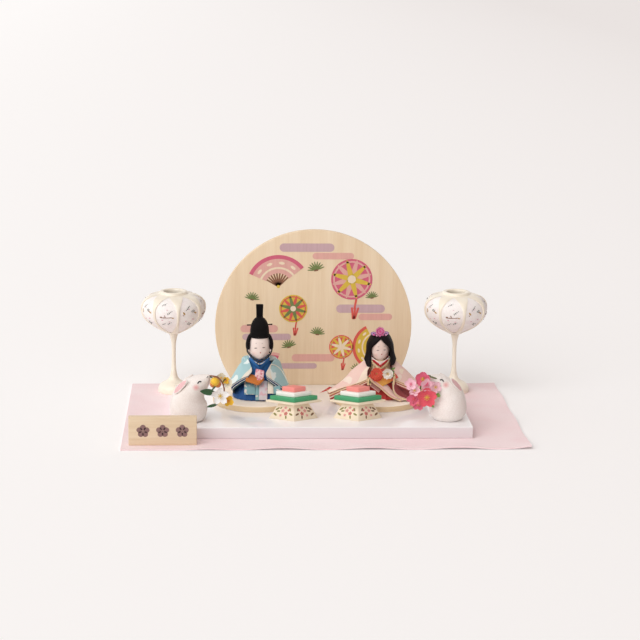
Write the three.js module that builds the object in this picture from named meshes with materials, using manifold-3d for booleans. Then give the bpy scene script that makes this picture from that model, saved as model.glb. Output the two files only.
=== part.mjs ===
// Compact display of an emperor and an empress doll for the dolls' festival: felt mat, lacquered
// board, round screen, two lanterns, two stands of rice cakes, two rabbits and a name plate.
// Millimetres, +Z up, origin at the centre of the felt's underside, front towards -Y.
import * as THREE from "three";
import { mergeVertices } from "three/addons/utils/BufferGeometryUtils.js";
import { LoftGeometry } from "three/addons/geometries/LoftGeometry.js";
import { ConvexGeometry } from "three/addons/geometries/ConvexGeometry.js";
import Module from "manifold-3d";

const wasm = await Module();
wasm.setup();

// Clearances
const gap = 0.3; // between pieces that fit into or rest against each other
const overrun = 4; // how far a cut reaches past what it cuts
const weldDistance = 0.0001;
const facets = {
  cloth: 22, chest: 18, head: 16, hair: 18, dais: 40, screen: 30, turned: 16, rod: 10, thin: 7, cord: 5,
};

// Mat, board, screen and name plate
const felt = { width: 400, depth: 246, thickness: 1.2 };
const board = { width: 298.6, depth: 163.5, thickness: 11.7, centreX: -2.5, backY: 74, edge: 0.8 };
const dowel = { radius: 2.5, inBoard: 12, inScreen: 4.4, spacing: 110 };
const screen = { radius: 105, thickness: 6, centreX: -4.3, height: 180.4, edge: 0.6 };
const plate = { width: 66.2, height: 29, thickness: 6, fromSide: 7.3, frontY: -110.4, edge: 0.5 };

// Round dais under each doll
const dais = { radius: 46, thickness: 6.8, edge: 0.7 };
const places = {
  emperorDais: { x: -65.2, y: 8.5 },
  empressDais: { x: 59.9, y: 8.8 },
  emperor: { x: 1.7, y: -3.5 }, // the doll's middle from its dais's middle
  empress: { x: 0.8, y: -3.8 },
};

// Upright bodies under the robes, from the waist to the neck: [height, width, front, back]
const lordChestShares = [
  [0, 1.1, 1.05, 1.05], [0.45, 1, 1, 1], [0.8, 0.95, 0.9, 0.95], [0.96, 0.7, 0.74, 0.8], [1, 0.45, 0.5, 0.55],
];
const ladyChestShares = [
  [0, 1.1, 1, 1.1], [0.5, 1, 1, 1], [0.74, 0.85, 0.9, 0.85], [0.83, 0.57, 0.8, 0.7], [1, 0.46, 0.55, 0.55],
];

// Emperor: heights from the dais, widths from his own middle
const lord = {
  skirt: { halfWidth: 28.1, front: 23, back: 24, height: 19, folds: 7, foldDepth: 0.6, squareness: 3.6 },
  chest: { halfWidth: 15, front: 11, back: 11.5, top: 40.2, squareness: 2.6, shares: lordChestShares },
  robe: {
    halfWidth: 26, front: 12, back: 27.5, low: 2.5, top: 42.2, folds: 7, foldDepth: 0.6, squareness: 2.7,
  },
  opening: { neck: 11.5, waist: 7, hip: 16, neckRadius: 7.9 },
  sleeve: { span: 31.2, reach: 21, top: 41.5, hemDrop: 1.3, hemInset: 1.2 },
  panel: {
    standOff: 1.8, proud: 0.6, left: 16, middle: 3.5, right: 6.3, far: 22, top: 18, low: 1.6, sideLow: 7,
  },
  cuff: { left: 15.3, width: 20, height: 10, thickness: 3, low: 18.3 },
  baton: { width: 8.5, height: 13.3, thickness: 1, low: 21.2, shift: 0.5, corner: 1.2 },
};
const lordHead = { radius: 11, below: 9.7, above: 15, squareness: 2.35, seat: 0.6, forward: 1 };
const lordHair = { thickness: 2.15, low: 4, napeRise: 1.2, hairline: 13, sideLine: 11.1, topLine: 8.5 };
const crown = {
  radius: 9.8, height: 20, seat: 11.5, strip: 7.9, stripThickness: 1.6, stripRise: 14, stripBack: 4,
};
const crownPin = { radius: 0.6, reach: 13.3, drop: 6.5 };
const chinCord = { radius: 0.55, knotRadius: 1.2, halfWidth: 12.4, forward: 10.8, drop: 7.2 };

// Empress, likewise
const lady = {
  skirt: { halfWidth: 27, front: 21, back: 20, height: 15, folds: 7, foldDepth: 0.6, squareness: 3 },
  chest: { halfWidth: 13, front: 10.5, back: 7, top: 39.8, squareness: 2.6, shares: ladyChestShares },
  robe: { halfWidth: 30, front: 12, back: 30, low: 0.8, top: 41, folds: 7, foldDepth: 0.8, squareness: 2.5 },
  opening: { neck: 8.5, waist: 8, hip: 15, neckRadius: 7 },
  sleeve: { span: 54.6, reach: 22.8, top: 37 },
  collar: { halfWidth: 7, drop: 4, band: 3.4, thickness: 1.2, shift: 0.3 },
  lapel: { width: 14, thickness: 1.1, top: 19.6, low: 0.7, reach: 27.6, front: 25.4, waistShare: 0.56 },
  fan: { width: 29, height: 15, thickness: 1.2, low: 16.9, shift: 1 },
  flower: { radius: 5.2, depth: 2.4, heart: 1.6, rise: 31, apart: 11.9, shift: 1 },
};
const ladyHead = { radius: 10, below: 10.3, above: 13.5, squareness: 2.35, seat: 0.6, forward: 1 };
const ladyHair = {
  halfWidth: 16.5, front: 11.5, back: 14, above: 17.6, below: 14.6, squareness: 2.3,
  part: 11.8, partShift: 0.4, lockInset: 9.6, lockBack: 4.8, nape: 11, shoulder: 8,
  tailHalf: 12.5, tailDrop: 22,
};
const ornament = {
  petal: 3.2, ring: 3.4, petals: 6, loop: 1.8, wire: 0.6, apart: 6.4, forward: 5.6, sink: 0.6,
};
const peg = { radius: 2, depth: 7, rise: 9 };

// Lanterns: heights from the felt
const lantern = {
  clear: { left: 9.4, right: 14.4 }, y: 91.5, footRadius: 17, stemHeight: 64.3, stemRadius: 4.1,
};
const spigot = { radius: 1.8, height: 3.4 };
const globe = {
  radius: 35.1, ribs: 8, ribWidth: 2.2, ribDepth: 1.6, paper: 0.5, cupRadius: 8.5, cupHeight: 2.6,
};
const mouth = { holeRadius: 9.9, ringRadius: 15.8, height: 5, lip: 1.6, top: 111.1 };
const lanternTurns = { left: 10, right: 8.6 }; // degrees from the front to the first rib

// Stands of rice cakes, rhombic in plan
const stand = { footHalf: 25, neckHalf: 14.3, trayHalf: 28.3, trayThickness: 2.3, height: 19.3, y: -56 };
const standDepthShare = 0.52;
const standX = { left: -30.3, right: 34.1 };
const cakeHalf = { green: 24, white: 18, pink: 12 };
const cakeThickness = { green: 4.5, white: 4.5, pink: 4.9 };

// Rabbits: forward is the way the nose points
const rabbit = { radius: 19.3, height: 47.6 };
const rabbitPlaces = {
  left: { x: -135.4, y: -61, turn: -14, mirror: 1, earBack: 5.2 },
  right: { x: 124.7, y: -58.5, turn: -22, mirror: -1, earBack: 3.6 },
};
const ear = { length: 20, width: 7.4, thickness: 3.8, rise: 36.4, side: 11.2, lean: 47, roll: 40 };
const posy = {
  reach: 27, stem: 0.8, blossomDepth: 3, leafLength: 15, leafWidth: 5.6, leafDepth: 1.2, bud: 5.2,
};

// Heights that follow from the sizes above
const feltTop = felt.thickness;
const boardTop = feltTop + board.thickness;
const lordHeadZ = lord.chest.top + lordHead.seat + lordHead.below;
const ladyHeadZ = lady.chest.top + ladyHead.seat + ladyHead.below;
const halfTurn = Math.PI;

// Materials
function finish(color, roughness, metalness = 0) {
  return new THREE.MeshStandardMaterial({ color, roughness, metalness });
}
const finishes = {
  feltPink: finish(0xf6dcd8, 0.95),
  whiteLacquer: finish(0xf1e8e6, 0.2),
  maple: finish(0xdcbf9f, 0.6),
  paleWood: finish(0xecd9c4, 0.6),
  creamPlastic: finish(0xf2e4cc, 0.4),
  paper: finish(0xede4da, 0.85),
  navyCloth: finish(0x245b87, 0.7),
  blueCloth: finish(0x215380, 0.7),
  paleBlueCloth: finish(0xb4d4d7, 0.75),
  orangeCloth: finish(0xb86d34, 0.7),
  pinkCloth: finish(0xedbcbd, 0.75),
  roseCloth: finish(0xeac5b4, 0.75),
  redCloth: finish(0xb2423c, 0.7),
  skin: finish(0xf5e7dd, 0.5),
  hair: finish(0x1d0e0e, 0.5),
  blackGauze: finish(0x181415, 0.8),
  standPaint: finish(0xeacfc1, 0.35),
  green: finish(0x3f9a68, 0.6),
  white: finish(0xe9ebe2, 0.6),
  pink: finish(0xe4807c, 0.6),
  crepe: finish(0xf2e9e2, 0.95),
  whitePetal: finish(0xf1ece2, 0.8),
  redPetal: finish(0xbe4c40, 0.8),
  magentaPetal: finish(0xd0577f, 0.8),
};

// Solids and booleans
function solidOf(geometry) {
  const bare = new THREE.BufferGeometry();
  bare.setAttribute("position", geometry.getAttribute("position"));
  if (geometry.index) bare.setIndex(geometry.index);
  const merged = mergeVertices(bare, weldDistance);
  const corners = [];
  for (let i = 0; i < merged.index.count; i += 3) {
    const [a, b, c] = [0, 1, 2].map((k) => merged.index.getX(i + k));
    if (a !== b && b !== c && c !== a) corners.push(a, b, c);
  }
  const vertProperties = new Float32Array(merged.attributes.position.array);
  return new wasm.Manifold(new wasm.Mesh({ numProp: 3, vertProperties, triVerts: new Uint32Array(corners) }));
}

function geometryOf(solid) {
  const mesh = solid.getMesh();
  const geometry = new THREE.BufferGeometry();
  geometry.setAttribute("position", new THREE.BufferAttribute(new Float32Array(mesh.vertProperties), 3));
  geometry.setIndex(new THREE.BufferAttribute(new Uint32Array(mesh.triVerts), 1));
  geometry.computeVertexNormals();
  return geometry;
}

function join(...geometries) {
  return geometryOf(geometries.map(solidOf).reduce((whole, piece) => whole.add(piece)));
}

// Cuts the tools out of a piece and keeps its largest body, without the crumbs beside the cuts
function cut(geometry, ...tools) {
  const left = tools.map(solidOf).reduce((whole, tool) => whole.subtract(tool), solidOf(geometry));
  const bodies = left.decompose();
  return geometryOf(bodies.reduce((a, b) => (b.volume() > a.volume() ? b : a)));
}

// Shapes
function turned(profile, segments) {
  const points = profile.map(([radius, height]) => new THREE.Vector2(radius, height));
  return new THREE.LatheGeometry(points, segments).rotateX(halfTurn / 2);
}

function box(x0, x1, y0, y1, z0, z1) {
  const block = new THREE.BoxGeometry(x1 - x0, y1 - y0, z1 - z0);
  return block.translate((x0 + x1) / 2, (y0 + y1) / 2, (z0 + z1) / 2);
}

function outline(points) {
  return new THREE.Shape(points.map(([x, y]) => new THREE.Vector2(x, y)));
}

function rectangle(width, height) {
  const [x, y] = [width / 2, height / 2];
  return outline([[-x, -y], [x, -y], [x, y], [-x, y]]);
}

// A flat slab from z = 0 up, its edges chamfered by the given amount
function slab(shape, depth, edge = 0, curveSegments = facets.rod) {
  const geometry = new THREE.ExtrudeGeometry(shape, {
    depth: depth - 2 * edge,
    bevelEnabled: edge > 0,
    bevelThickness: edge,
    bevelSize: edge,
    bevelOffset: -edge,
    bevelSegments: 1,
    curveSegments,
  });
  return geometry.translate(0, 0, edge);
}

// The same slab stood up: the shape's y becomes height, and its front face lies at the given y
function upright(shape, frontY, depth, edge = 0, curveSegments = facets.rod) {
  return slab(shape, depth, edge, curveSegments).rotateX(halfTurn / 2).translate(0, frontY + depth, 0);
}

function rod(radius, length, segments = facets.rod) {
  return new THREE.CylinderGeometry(radius, radius, length, segments);
}

function post(radius, z0, z1, y = 0, segments = facets.rod) {
  return rod(radius, z1 - z0, segments).rotateX(halfTurn / 2).translate(0, y, (z0 + z1) / 2);
}

function ball(radius) {
  return new THREE.SphereGeometry(radius, facets.thin, facets.cord);
}

// One ring of cloth round a body: a superellipse with folds that stay inside its outline
function clothRing(spec, z, widthShare, frontShare, backShare, grow, count) {
  const front = spec.front * frontShare;
  const back = spec.back * backShare;
  const halfWidth = spec.halfWidth * widthShare;
  const power = 2 / spec.squareness;
  return Array.from({ length: count }, (_, i) => {
    const angle = (i / count) * 2 * halfTurn;
    const fold = (spec.foldDepth ?? 0) * (Math.cos((spec.folds ?? 0) * angle) - 1) + grow;
    const across = Math.sign(Math.cos(angle)) * Math.abs(Math.cos(angle)) ** power;
    const along = Math.sign(Math.sin(angle)) * Math.abs(Math.sin(angle)) ** power;
    const y = (back - front) / 2 + ((back + front) / 2 + fold) * along;
    return new THREE.Vector3((halfWidth + fold) * across, y, z);
  });
}

// A cloth form through rings at shares of its height: [height, width, front, back]
function clothForm(spec, low, high, shares, grow = 0, count = facets.cloth) {
  const rings = shares.map(([rise, width, front, back], i) => {
    const end = i === 0 ? -grow : i === shares.length - 1 ? grow : 0;
    return clothRing(spec, low + (high - low) * rise + end, width, front, back, grow, count);
  });
  return new LoftGeometry(rings, { capStart: true, capEnd: true });
}

const skirtShares = [[0, 1, 1, 1], [0.3, 1, 0.99, 0.98], [0.65, 0.93, 0.97, 0.9], [1, 0.68, 0.88, 0.7]];

function skirtForm(doll, grow = 0) {
  return clothForm(doll.skirt, 0, doll.skirt.height, skirtShares, grow);
}

function chestForm(doll, grow = 0) {
  const { chest, skirt } = doll;
  return clothForm(chest, skirt.height + gap, chest.top, chest.shares, grow, facets.chest);
}

function robeForm(doll, shares, grow = 0) {
  return clothForm(doll.robe, doll.robe.low, doll.robe.top, shares, grow);
}

// Robe over the back and shoulders, open down the front and round the neck
const openingShares = { waistRise: 0.37, hipRise: 0.63, depth: 0.36 };
function robe(doll, shares, headTool) {
  const { neck, waist, hip, neckRadius } = doll.opening;
  const top = doll.robe.top + overrun;
  const waistZ = doll.skirt.height + doll.skirt.height * openingShares.waistRise;
  const hipZ = doll.skirt.height * openingShares.hipRise;
  const half = [[hip, -overrun], [hip, hipZ], [waist, waistZ], [neck, doll.chest.top], [neck, top]];
  const shape = outline([...half, ...half.map(([x, z]) => [-x, z]).reverse()]);
  const front = doll.robe.front + doll.skirt.front;
  const opening = upright(shape, -front, front - doll.chest.front * openingShares.depth);
  const collar = post(neckRadius, doll.chest.top - overrun, top, -lordHead.forward, facets.hair);
  return cut(robeForm(doll, shares), skirtForm(doll, gap), chestForm(doll, gap), opening, collar, headTool);
}

// Head: an egg on the neck peg, wider below
function eggForm(head, grow = 0, segments = facets.head) {
  const steps = segments / 2;
  const profile = Array.from({ length: steps + 1 }, (_, i) => {
    const rise = Math.sin((i / steps - 1 / 2) * halfTurn);
    const power = 2 / (rise < 0 ? head.squareness : 2);
    const reach = i % steps ? Math.sqrt(1 - rise * rise) ** power : 0;
    const height = (rise < 0 ? head.below : head.above) + grow;
    return [(head.radius + grow) * reach, height * Math.sign(rise) * Math.abs(rise) ** power];
  });
  return turned(profile, segments).translate(0, -head.forward, 0);
}

function headPiece(doll, head, headZ) {
  const { top } = doll.chest;
  const bore = post(peg.radius + gap, top - overrun, top + peg.rise + gap, -head.forward);
  return cut(eggForm(head).translate(0, 0, headZ), bore);
}

function chestPiece(doll, head) {
  const top = doll.chest.top;
  const bore = post(peg.radius + gap, top - peg.depth - gap, top + overrun, -head.forward);
  return cut(chestForm(doll), bore);
}

function neckPeg(doll, head) {
  return post(peg.radius, doll.chest.top - peg.depth, doll.chest.top + peg.rise, -head.forward);
}

// Emperor's robe and sleeves
const lordRobeShares = [
  [0, 1, 1, 1], [0.28, 0.89, 0.85, 0.83], [0.62, 0.71, 0.82, 0.58],
  [0.9, 0.7, 0.78, 0.48], [0.975, 0.66, 0.5, 0.38], [1, 0.42, 0.25, 0.3],
];
// Corners of a hanging sleeve as shares of its span, reach and top
const sleeveShares = [
  [0.5, 0.1, 1], [0.44, -0.25, 0.98], [0.56, 0.38, 0.92], [0.3, -1, 0.69], [0.33, -1, 0.6],
  [1, -0.67, 0.34], [0.87, -0.71, 0.19], [0.9, 0.38, 0.31], [0.81, 0.38, 0.2], [0.76, -0.3, 0.76],
];

function lordSleeve(side) {
  const { span, reach, top, hemDrop, hemInset } = lord.sleeve;
  const layer = (drop, inset) => new ConvexGeometry(sleeveShares.map(([x, y, z]) =>
    new THREE.Vector3(side * (x * span - inset), y * reach + inset, z * top - drop)));
  const layers = join(layer(0, 0), layer(hemDrop, hemInset));
  const inner = robeForm(lord, lordRobeShares, gap);
  return cut(layers, inner, chestForm(lord, gap), skirtForm(lord, gap), panelBlock(gap));
}

// Cloth panels that hang from the waist over the lap
function panelBlock(grow = 0) {
  const { standOff, proud, left, middle, right, far, top, low, sideLow } = lord.panel;
  const front = lord.skirt.front + standOff;
  const back = -lord.chest.front;
  const side = box(-left - grow, far + grow, -front - grow, back, sideLow - grow, top + grow);
  const strip = box(-middle - grow, right + grow, -front - proud - grow, back, low - grow, top + grow);
  return join(side, strip);
}

const cuffShares = [
  [0.02, 0.7], [0.36, 0.44], [0.76, 0], [0.98, 0.26], [1, 0.6],
  [0.86, 0.72], [0.78, 0.46], [0.44, 0.8], [0.12, 0.98],
];
function cuffs() {
  const { left, width, height, thickness, low } = lord.cuff;
  const shape = outline(cuffShares.map(([x, z]) => [x * width - left, low + z * height]));
  return upright(shape, -lord.sleeve.reach - gap - thickness, thickness);
}

function baton() {
  const { width, height, thickness, low, shift, corner } = lord.baton;
  const x = width / 2;
  const top = low + height;
  const shape = outline([
    [shift - x, low], [shift + x, low], [shift + x, top - corner],
    [shift + x - corner, top], [shift - x + corner, top], [shift - x, top - corner],
  ]);
  return upright(shape, -lord.sleeve.reach, thickness);
}

// Emperor's hair, crown and chin cord
function lordHairForm(grow = 0) {
  return eggForm(lordHead, lordHair.thickness + grow, facets.hair).translate(0, 0, lordHeadZ);
}

function lordHairPiece() {
  const { thickness, low, napeRise, hairline, sideLine, topLine } = lordHair;
  const reach = lordHead.radius + thickness;
  const deep = lordHead.below + thickness + overrun;
  const half = [[sideLine, -deep], [sideLine, 0], [topLine, hairline]];
  const face = outline([...half, ...half.map(([x, z]) => [-x, z]).reverse()]);
  const faceCut = upright(face, -2 * reach, 2 * reach - lordHead.forward).translate(0, 0, lordHeadZ);
  const drop = lordHeadZ - low - lord.robe.top - napeRise;
  const below = box(-2 * reach, 2 * reach, -2 * reach, 2 * reach, -deep, 0);
  below.rotateX(-Math.atan2(drop, reach)).translate(0, -lordHead.forward, lordHeadZ - low);
  return cut(lordHairForm(), eggForm(lordHead, gap).translate(0, 0, lordHeadZ), faceCut, below);
}

const crownShares = [
  [0, 0], [0.92, 0], [1, 0.3], [0.95, 0.55], [0.86, 0.78], [0.72, 0.92], [0.45, 0.985], [0, 1],
];
const crownZ = lordHeadZ + crown.seat;
const pinZ = crownZ + crown.height - crownPin.drop;
function crownPiece() {
  const { radius, height, strip, stripThickness, stripRise, stripBack } = crown;
  const dome = turned(crownShares.map(([r, z]) => [r * radius, z * height]), facets.head);
  dome.translate(0, -lordHead.forward, crownZ);
  const back = stripBack - lordHead.forward;
  const top = crownZ + height;
  const tab = box(-strip / 2, strip / 2, back, back + stripThickness, top - stripRise / 2, top + stripRise);
  const hole = rod(crownPin.radius + gap, 2 * (radius + overrun)).rotateZ(halfTurn / 2);
  return cut(join(dome, tab), lordHairForm(gap), hole.translate(0, -lordHead.forward, pinZ));
}

const cordShares = [[1, 0.3, 0], [0.86, 0.42, 0.29], [0.6, 0.64, 0.58], [0.3, 0.88, 0.85], [0, 1, 1]];
function chinCordPiece() {
  const { radius, knotRadius, halfWidth, forward, drop } = chinCord;
  const start = lordHeadZ - lordHair.low - radius;
  const place = (side) => ([x, y, z]) =>
    new THREE.Vector3(side * x * halfWidth, -y * forward, start - z * drop);
  const route = [...cordShares.map(place(-1)), ...cordShares.slice(0, -1).reverse().map(place(1))];
  const knot = ball(knotRadius).translate(0, -forward, start - drop);
  return join(tube(route, radius, facets.rod), knot);
}

// A round cord or wire along a smooth curve
function tube(route, radius, steps) {
  const circle = outline(Array.from({ length: facets.cord }, (_, i) => {
    const angle = (i / facets.cord) * 2 * halfTurn;
    return [radius * Math.cos(angle), radius * Math.sin(angle)];
  }));
  return new THREE.ExtrudeGeometry(circle, { steps, extrudePath: new THREE.CatmullRomCurve3(route) });
}

// Empress's robe, spread sleeves, lapels and collar
const ladyRobeShares = [
  [0, 1, 1, 1], [0.23, 0.86, 1, 0.74], [0.48, 0.7, 0.95, 0.47], [0.7, 0.59, 0.75, 0.32],
  [0.83, 0.56, 0.42, 0.27], [0.91, 0.42, 0.25, 0.22], [1, 0.25, 0.15, 0.15],
];
// Sections of a spread sleeve: [out, low, high, front, back] as shares of span, top and reach
const spreadShares = [
  [0.1, 0.55, 0.84, -1, -0.62], [0.22, 0.55, 0.9, -0.93, 0.18], [0.33, 0.08, 0.92, -0.7, 0.42],
  [0.57, 0.035, 0.67, -0.64, 0.5], [0.79, 0.025, 0.41, -0.52, 0.4], [1, 0.03, 0.21, -0.3, 0.16],
];
// Outline of one section: [depth, height], from the front hem over the ridge to the back hem
const tentShares = [
  [0, 0], [0.04, 0.2], [0.16, 0.42], [0.22, 0.66], [0.4, 0.94],
  [0.52, 1], [0.62, 0.93], [0.8, 0.6], [0.93, 0.3], [1, 0],
];

function ladySleeve(side) {
  const { span, reach, top } = lady.sleeve;
  const sections = spreadShares.map(([out, low, high, front, back]) => {
    const points = tentShares.map(([depth, height]) => {
      const y = reach * (front + (back - front) * depth);
      return new THREE.Vector3(side * out * span, y, top * (low + (high - low) * height));
    });
    return side > 0 ? points.reverse() : points;
  });
  const form = new LoftGeometry(sections, { capStart: true, capEnd: true });
  const lapHalf = lady.lapel.reach * lady.lapel.waistShare + gap;
  const lap = box(-lapHalf, lapHalf, -lady.lapel.front, -lady.chest.front, -overrun, lady.lapel.top + gap);
  return cut(form, robeForm(lady, ladyRobeShares, gap), chestForm(lady, gap), skirtForm(lady, gap), lap);
}

// Lapels sweep down over the lap to the right: [height, left edge, right edge, front]
const lapelShares = [
  [1, -0.3, 0.53, 0.74], [0.82, -0.15, 0.52, 0.8], [0.5, 0.02, lady.lapel.waistShare, 0.865],
  [0.28, 0.13, 0.64, 0.885], [0.12, 0.28, 0.77, 0.92], [0, 0.46, 1, 1],
];
function lapel(side) {
  const { width, thickness, top, low, reach, front } = lady.lapel;
  const sections = lapelShares.map(([rise, left, right, forward]) => {
    const middle = (reach * (left + right)) / 2;
    const inner = middle + (side * gap) / 2;
    const outer = side < 0 ? Math.max(reach * left, middle - width) : Math.min(reach * right, middle + width);
    const [x0, x1] = side < 0 ? [outer, inner] : [inner, outer];
    const z = low + (top - low) * rise;
    const y = -front * forward;
    const corners = [[x0, y], [x0, y + thickness], [x1, y + thickness], [x1, y]];
    return corners.map(([across, along]) => new THREE.Vector3(across, along, z));
  });
  return cut(new LoftGeometry(sections, { capStart: true, capEnd: true }), skirtForm(lady, gap));
}

function collar() {
  const { halfWidth, drop, band, thickness, shift } = lady.collar;
  const top = lady.chest.top;
  const shape = outline([
    [-halfWidth, top], [shift, top - drop], [halfWidth, top],
    [halfWidth, top - band], [shift, top - drop - band], [-halfWidth, top - band],
  ]);
  const depth = lady.chest.front + gap + thickness;
  return cut(upright(shape, -depth, depth / 2), chestForm(lady, gap));
}

function fan() {
  const { width, height, thickness, low, shift } = lady.fan;
  const shape = outline([[shift, low], [shift + width / 2, low + height], [shift - width / 2, low + height]]);
  return upright(shape, -lady.sleeve.reach - gap - thickness, thickness);
}

// Five-petalled blossom that faces -Y
const petalPoints = 4;
const petalShares = { notch: 0.68, round: 0.6 };
function blossom(radius, depth, frontY) {
  const count = 5 * petalPoints;
  const shape = outline(Array.from({ length: count }, (_, i) => {
    const angle = (i / count) * 2 * halfTurn + halfTurn / 2;
    const lobe = Math.abs(Math.cos((i / petalPoints) * halfTurn)) ** petalShares.round;
    const reach = radius * (petalShares.notch + (1 - petalShares.notch) * lobe);
    return [reach * Math.cos(angle), reach * Math.sin(angle)];
  }));
  return upright(shape, frontY, depth);
}

function camellia(side) {
  const { radius, depth, heart, rise, apart, shift } = lady.flower;
  const back = -lady.sleeve.reach - gap - lady.fan.thickness - gap;
  const middle = ball(heart).translate(0, back - depth, 0);
  return join(blossom(radius, depth, back - depth), middle).translate(shift + (side * apart) / 2, 0, rise);
}

// Empress's hair: cap, two front locks and a tail down the back
const ladyHairShares = [
  [0, 1, 0.8, 1], [0.12, 0.99, 0.84, 1.02], [0.35, 0.94, 0.93, 1], [0.58, 0.87, 1, 1],
  [0.8, 0.72, 0.93, 0.93], [0.93, 0.47, 0.6, 0.68], [1, 0.14, 0.12, 0.25],
];
const tailShares = [[1, 0], [0.88, 0.62], [0.55, 1]];
const ladyHairLow = ladyHeadZ - ladyHair.below;
const ladyHairTop = ladyHeadZ + ladyHair.above;

function ladyHairForm(grow = 0) {
  return clothForm(ladyHair, ladyHairLow, ladyHairTop, ladyHairShares, grow, facets.hair);
}

function ladyHairPiece() {
  const { halfWidth, front, back, part, partShift, lockInset, lockBack, nape, shoulder } = ladyHair;
  const { tailHalf, tailDrop } = ladyHair;
  const deep = ladyHair.below + overrun;
  const jaw = ladyHead.radius - gap;
  const face = outline([
    [partShift, part], [-jaw, 0], [-lockInset, -ladyHead.below], [-lockInset, -deep],
    [lockInset, -deep], [lockInset, -ladyHead.below], [jaw, 0],
  ]);
  const faceCut = upright(face, -2 * front, 2 * front - ladyHead.forward).translate(0, 0, ladyHeadZ);
  const low = ladyHairLow - overrun;
  const neckCut = box(-lockInset, lockInset, -2 * front, nape, low, ladyHeadZ - shoulder / 2);
  const shoulderCut = box(-2 * halfWidth, 2 * halfWidth, -lockBack, nape, low, ladyHeadZ - shoulder);
  const bottom = ladyHeadZ - tailDrop;
  const half = tailShares.map(([x, z]) => [x * tailHalf, ladyHeadZ + (bottom - ladyHeadZ) * z]);
  const tail = upright(outline([...half, ...half.map(([x, z]) => [-x, z]).reverse()]), nape, back - nape);
  const whole = join(ladyHairForm(), tail);
  return cut(whole, eggForm(ladyHead, gap).translate(0, 0, ladyHeadZ), faceCut, neckCut, shoulderCut);
}

function ornamentPiece() {
  const { petal, ring, petals, loop, wire, apart, forward, sink } = ornament;
  const blobs = Array.from({ length: petals }, (_, i) => {
    const angle = (i / petals) * 2 * halfTurn;
    return ball(petal).translate(ring * Math.cos(angle), 0, ring * Math.sin(angle));
  });
  const hoop = new THREE.TorusGeometry(loop, wire, facets.cord, facets.thin).rotateX(halfTurn / 2);
  const loops = [-1, 1].map((side) => hoop.clone().translate(side * apart, 0, -ring / 2));
  const whole = join(ball(petal), ...blobs, ...loops);
  return cut(whole.translate(0, -forward, ladyHairTop - sink), ladyHairForm(gap));
}

// Lantern
const footShares = [
  [0, 0], [1, 0], [1, 0.03], [0.98, 0.075], [0.92, 0.11], [0.75, 0.15], [0.54, 0.178], [0.39, 0.205],
  [0.29, 0.24], [0.21, 0.3], [0.155, 0.4], [0.13, 0.55], [0.13, 0.76], [0.16, 0.86], [0.21, 0.93], [0.28, 1],
];
function lanternStand() {
  const { footRadius, stemHeight } = lantern;
  const profile = footShares.map(([r, z]) => [r * footRadius, z * stemHeight]);
  const top = stemHeight + spigot.height;
  return turned([...profile, [spigot.radius, stemHeight], [spigot.radius, top], [0, top]], facets.turned);
}

// Outer line of the globe: [radius, height]
const globeShares = [
  [0.2, 0], [0.33, 0.06], [0.52, 0.14], [0.77, 0.28], [0.945, 0.45],
  [1, 0.64], [0.95, 0.8], [0.76, 0.935], [0.43, 1],
];
const globeSteps = { rib: 9, paper: 22 };
const globeZ = lantern.stemHeight + gap;
const globeHeight = mouth.top - mouth.height / 2 - globeZ;
function globeLine(inset, steps) {
  const points = globeShares.map(([r, z]) => new THREE.Vector2(r * globe.radius, globeZ + z * globeHeight));
  const line = new THREE.SplineCurve(points);
  return Array.from({ length: steps + 1 }, (_, i) => {
    const at = line.getPoint(i / steps);
    const along = line.getTangent(i / steps);
    return [at.x - along.y * inset, at.y + along.x * inset];
  });
}

function lanternFrame(turn) {
  const { rib: steps } = globeSteps;
  const line = outline([...globeLine(0, steps), ...globeLine(globe.ribDepth, steps).reverse()]);
  const rib = upright(line, -globe.ribWidth / 2, globe.ribWidth);
  const ribs = Array.from({ length: globe.ribs }, (_, i) => {
    const angle = (turn / 180 - 1 / 2 + (2 * i) / globe.ribs) * halfTurn;
    return rib.clone().rotateZ(angle);
  });
  const { holeRadius, ringRadius, height, lip, top } = mouth;
  const ring = turned([
    [holeRadius, top - height], [ringRadius - lip, top - height], [ringRadius, top - height / 2],
    [ringRadius, top], [holeRadius, top], [holeRadius, top - height],
  ], facets.turned);
  const cupTop = globeZ + globe.cupHeight;
  const cupLine = [[0, globeZ], [lantern.stemRadius, globeZ], [globe.cupRadius, cupTop], [0, cupTop]];
  const cup = turned(cupLine, facets.turned);
  const socket = post(spigot.radius + gap, globeZ - overrun, lantern.stemHeight + spigot.height + gap);
  return cut(join(ring, cup, ...ribs), socket);
}

function lanternPaper() {
  const low = globeZ + globe.cupHeight + gap;
  const high = mouth.top - mouth.height - gap;
  const wall = (inset) => globeLine(inset, globeSteps.paper).filter(([, z]) => z > low && z < high);
  const outer = wall(globe.ribDepth + gap);
  return turned([...outer, ...wall(globe.ribDepth + gap + globe.paper).reverse(), outer[0]], facets.turned);
}

// Rhombic stand, its cakes
function rhombus(half, thickness, topHalf = half) {
  const block = new THREE.CylinderGeometry(topHalf, half, thickness, 4).rotateX(halfTurn / 2);
  return block.scale(1, standDepthShare, 1).translate(0, 0, thickness / 2);
}

function cakeStand() {
  const { footHalf, neckHalf, trayHalf, trayThickness, height } = stand;
  const neck = rhombus(footHalf, height - trayThickness / 2, neckHalf);
  return join(neck, rhombus(trayHalf, trayThickness).translate(0, 0, height - trayThickness));
}

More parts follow.
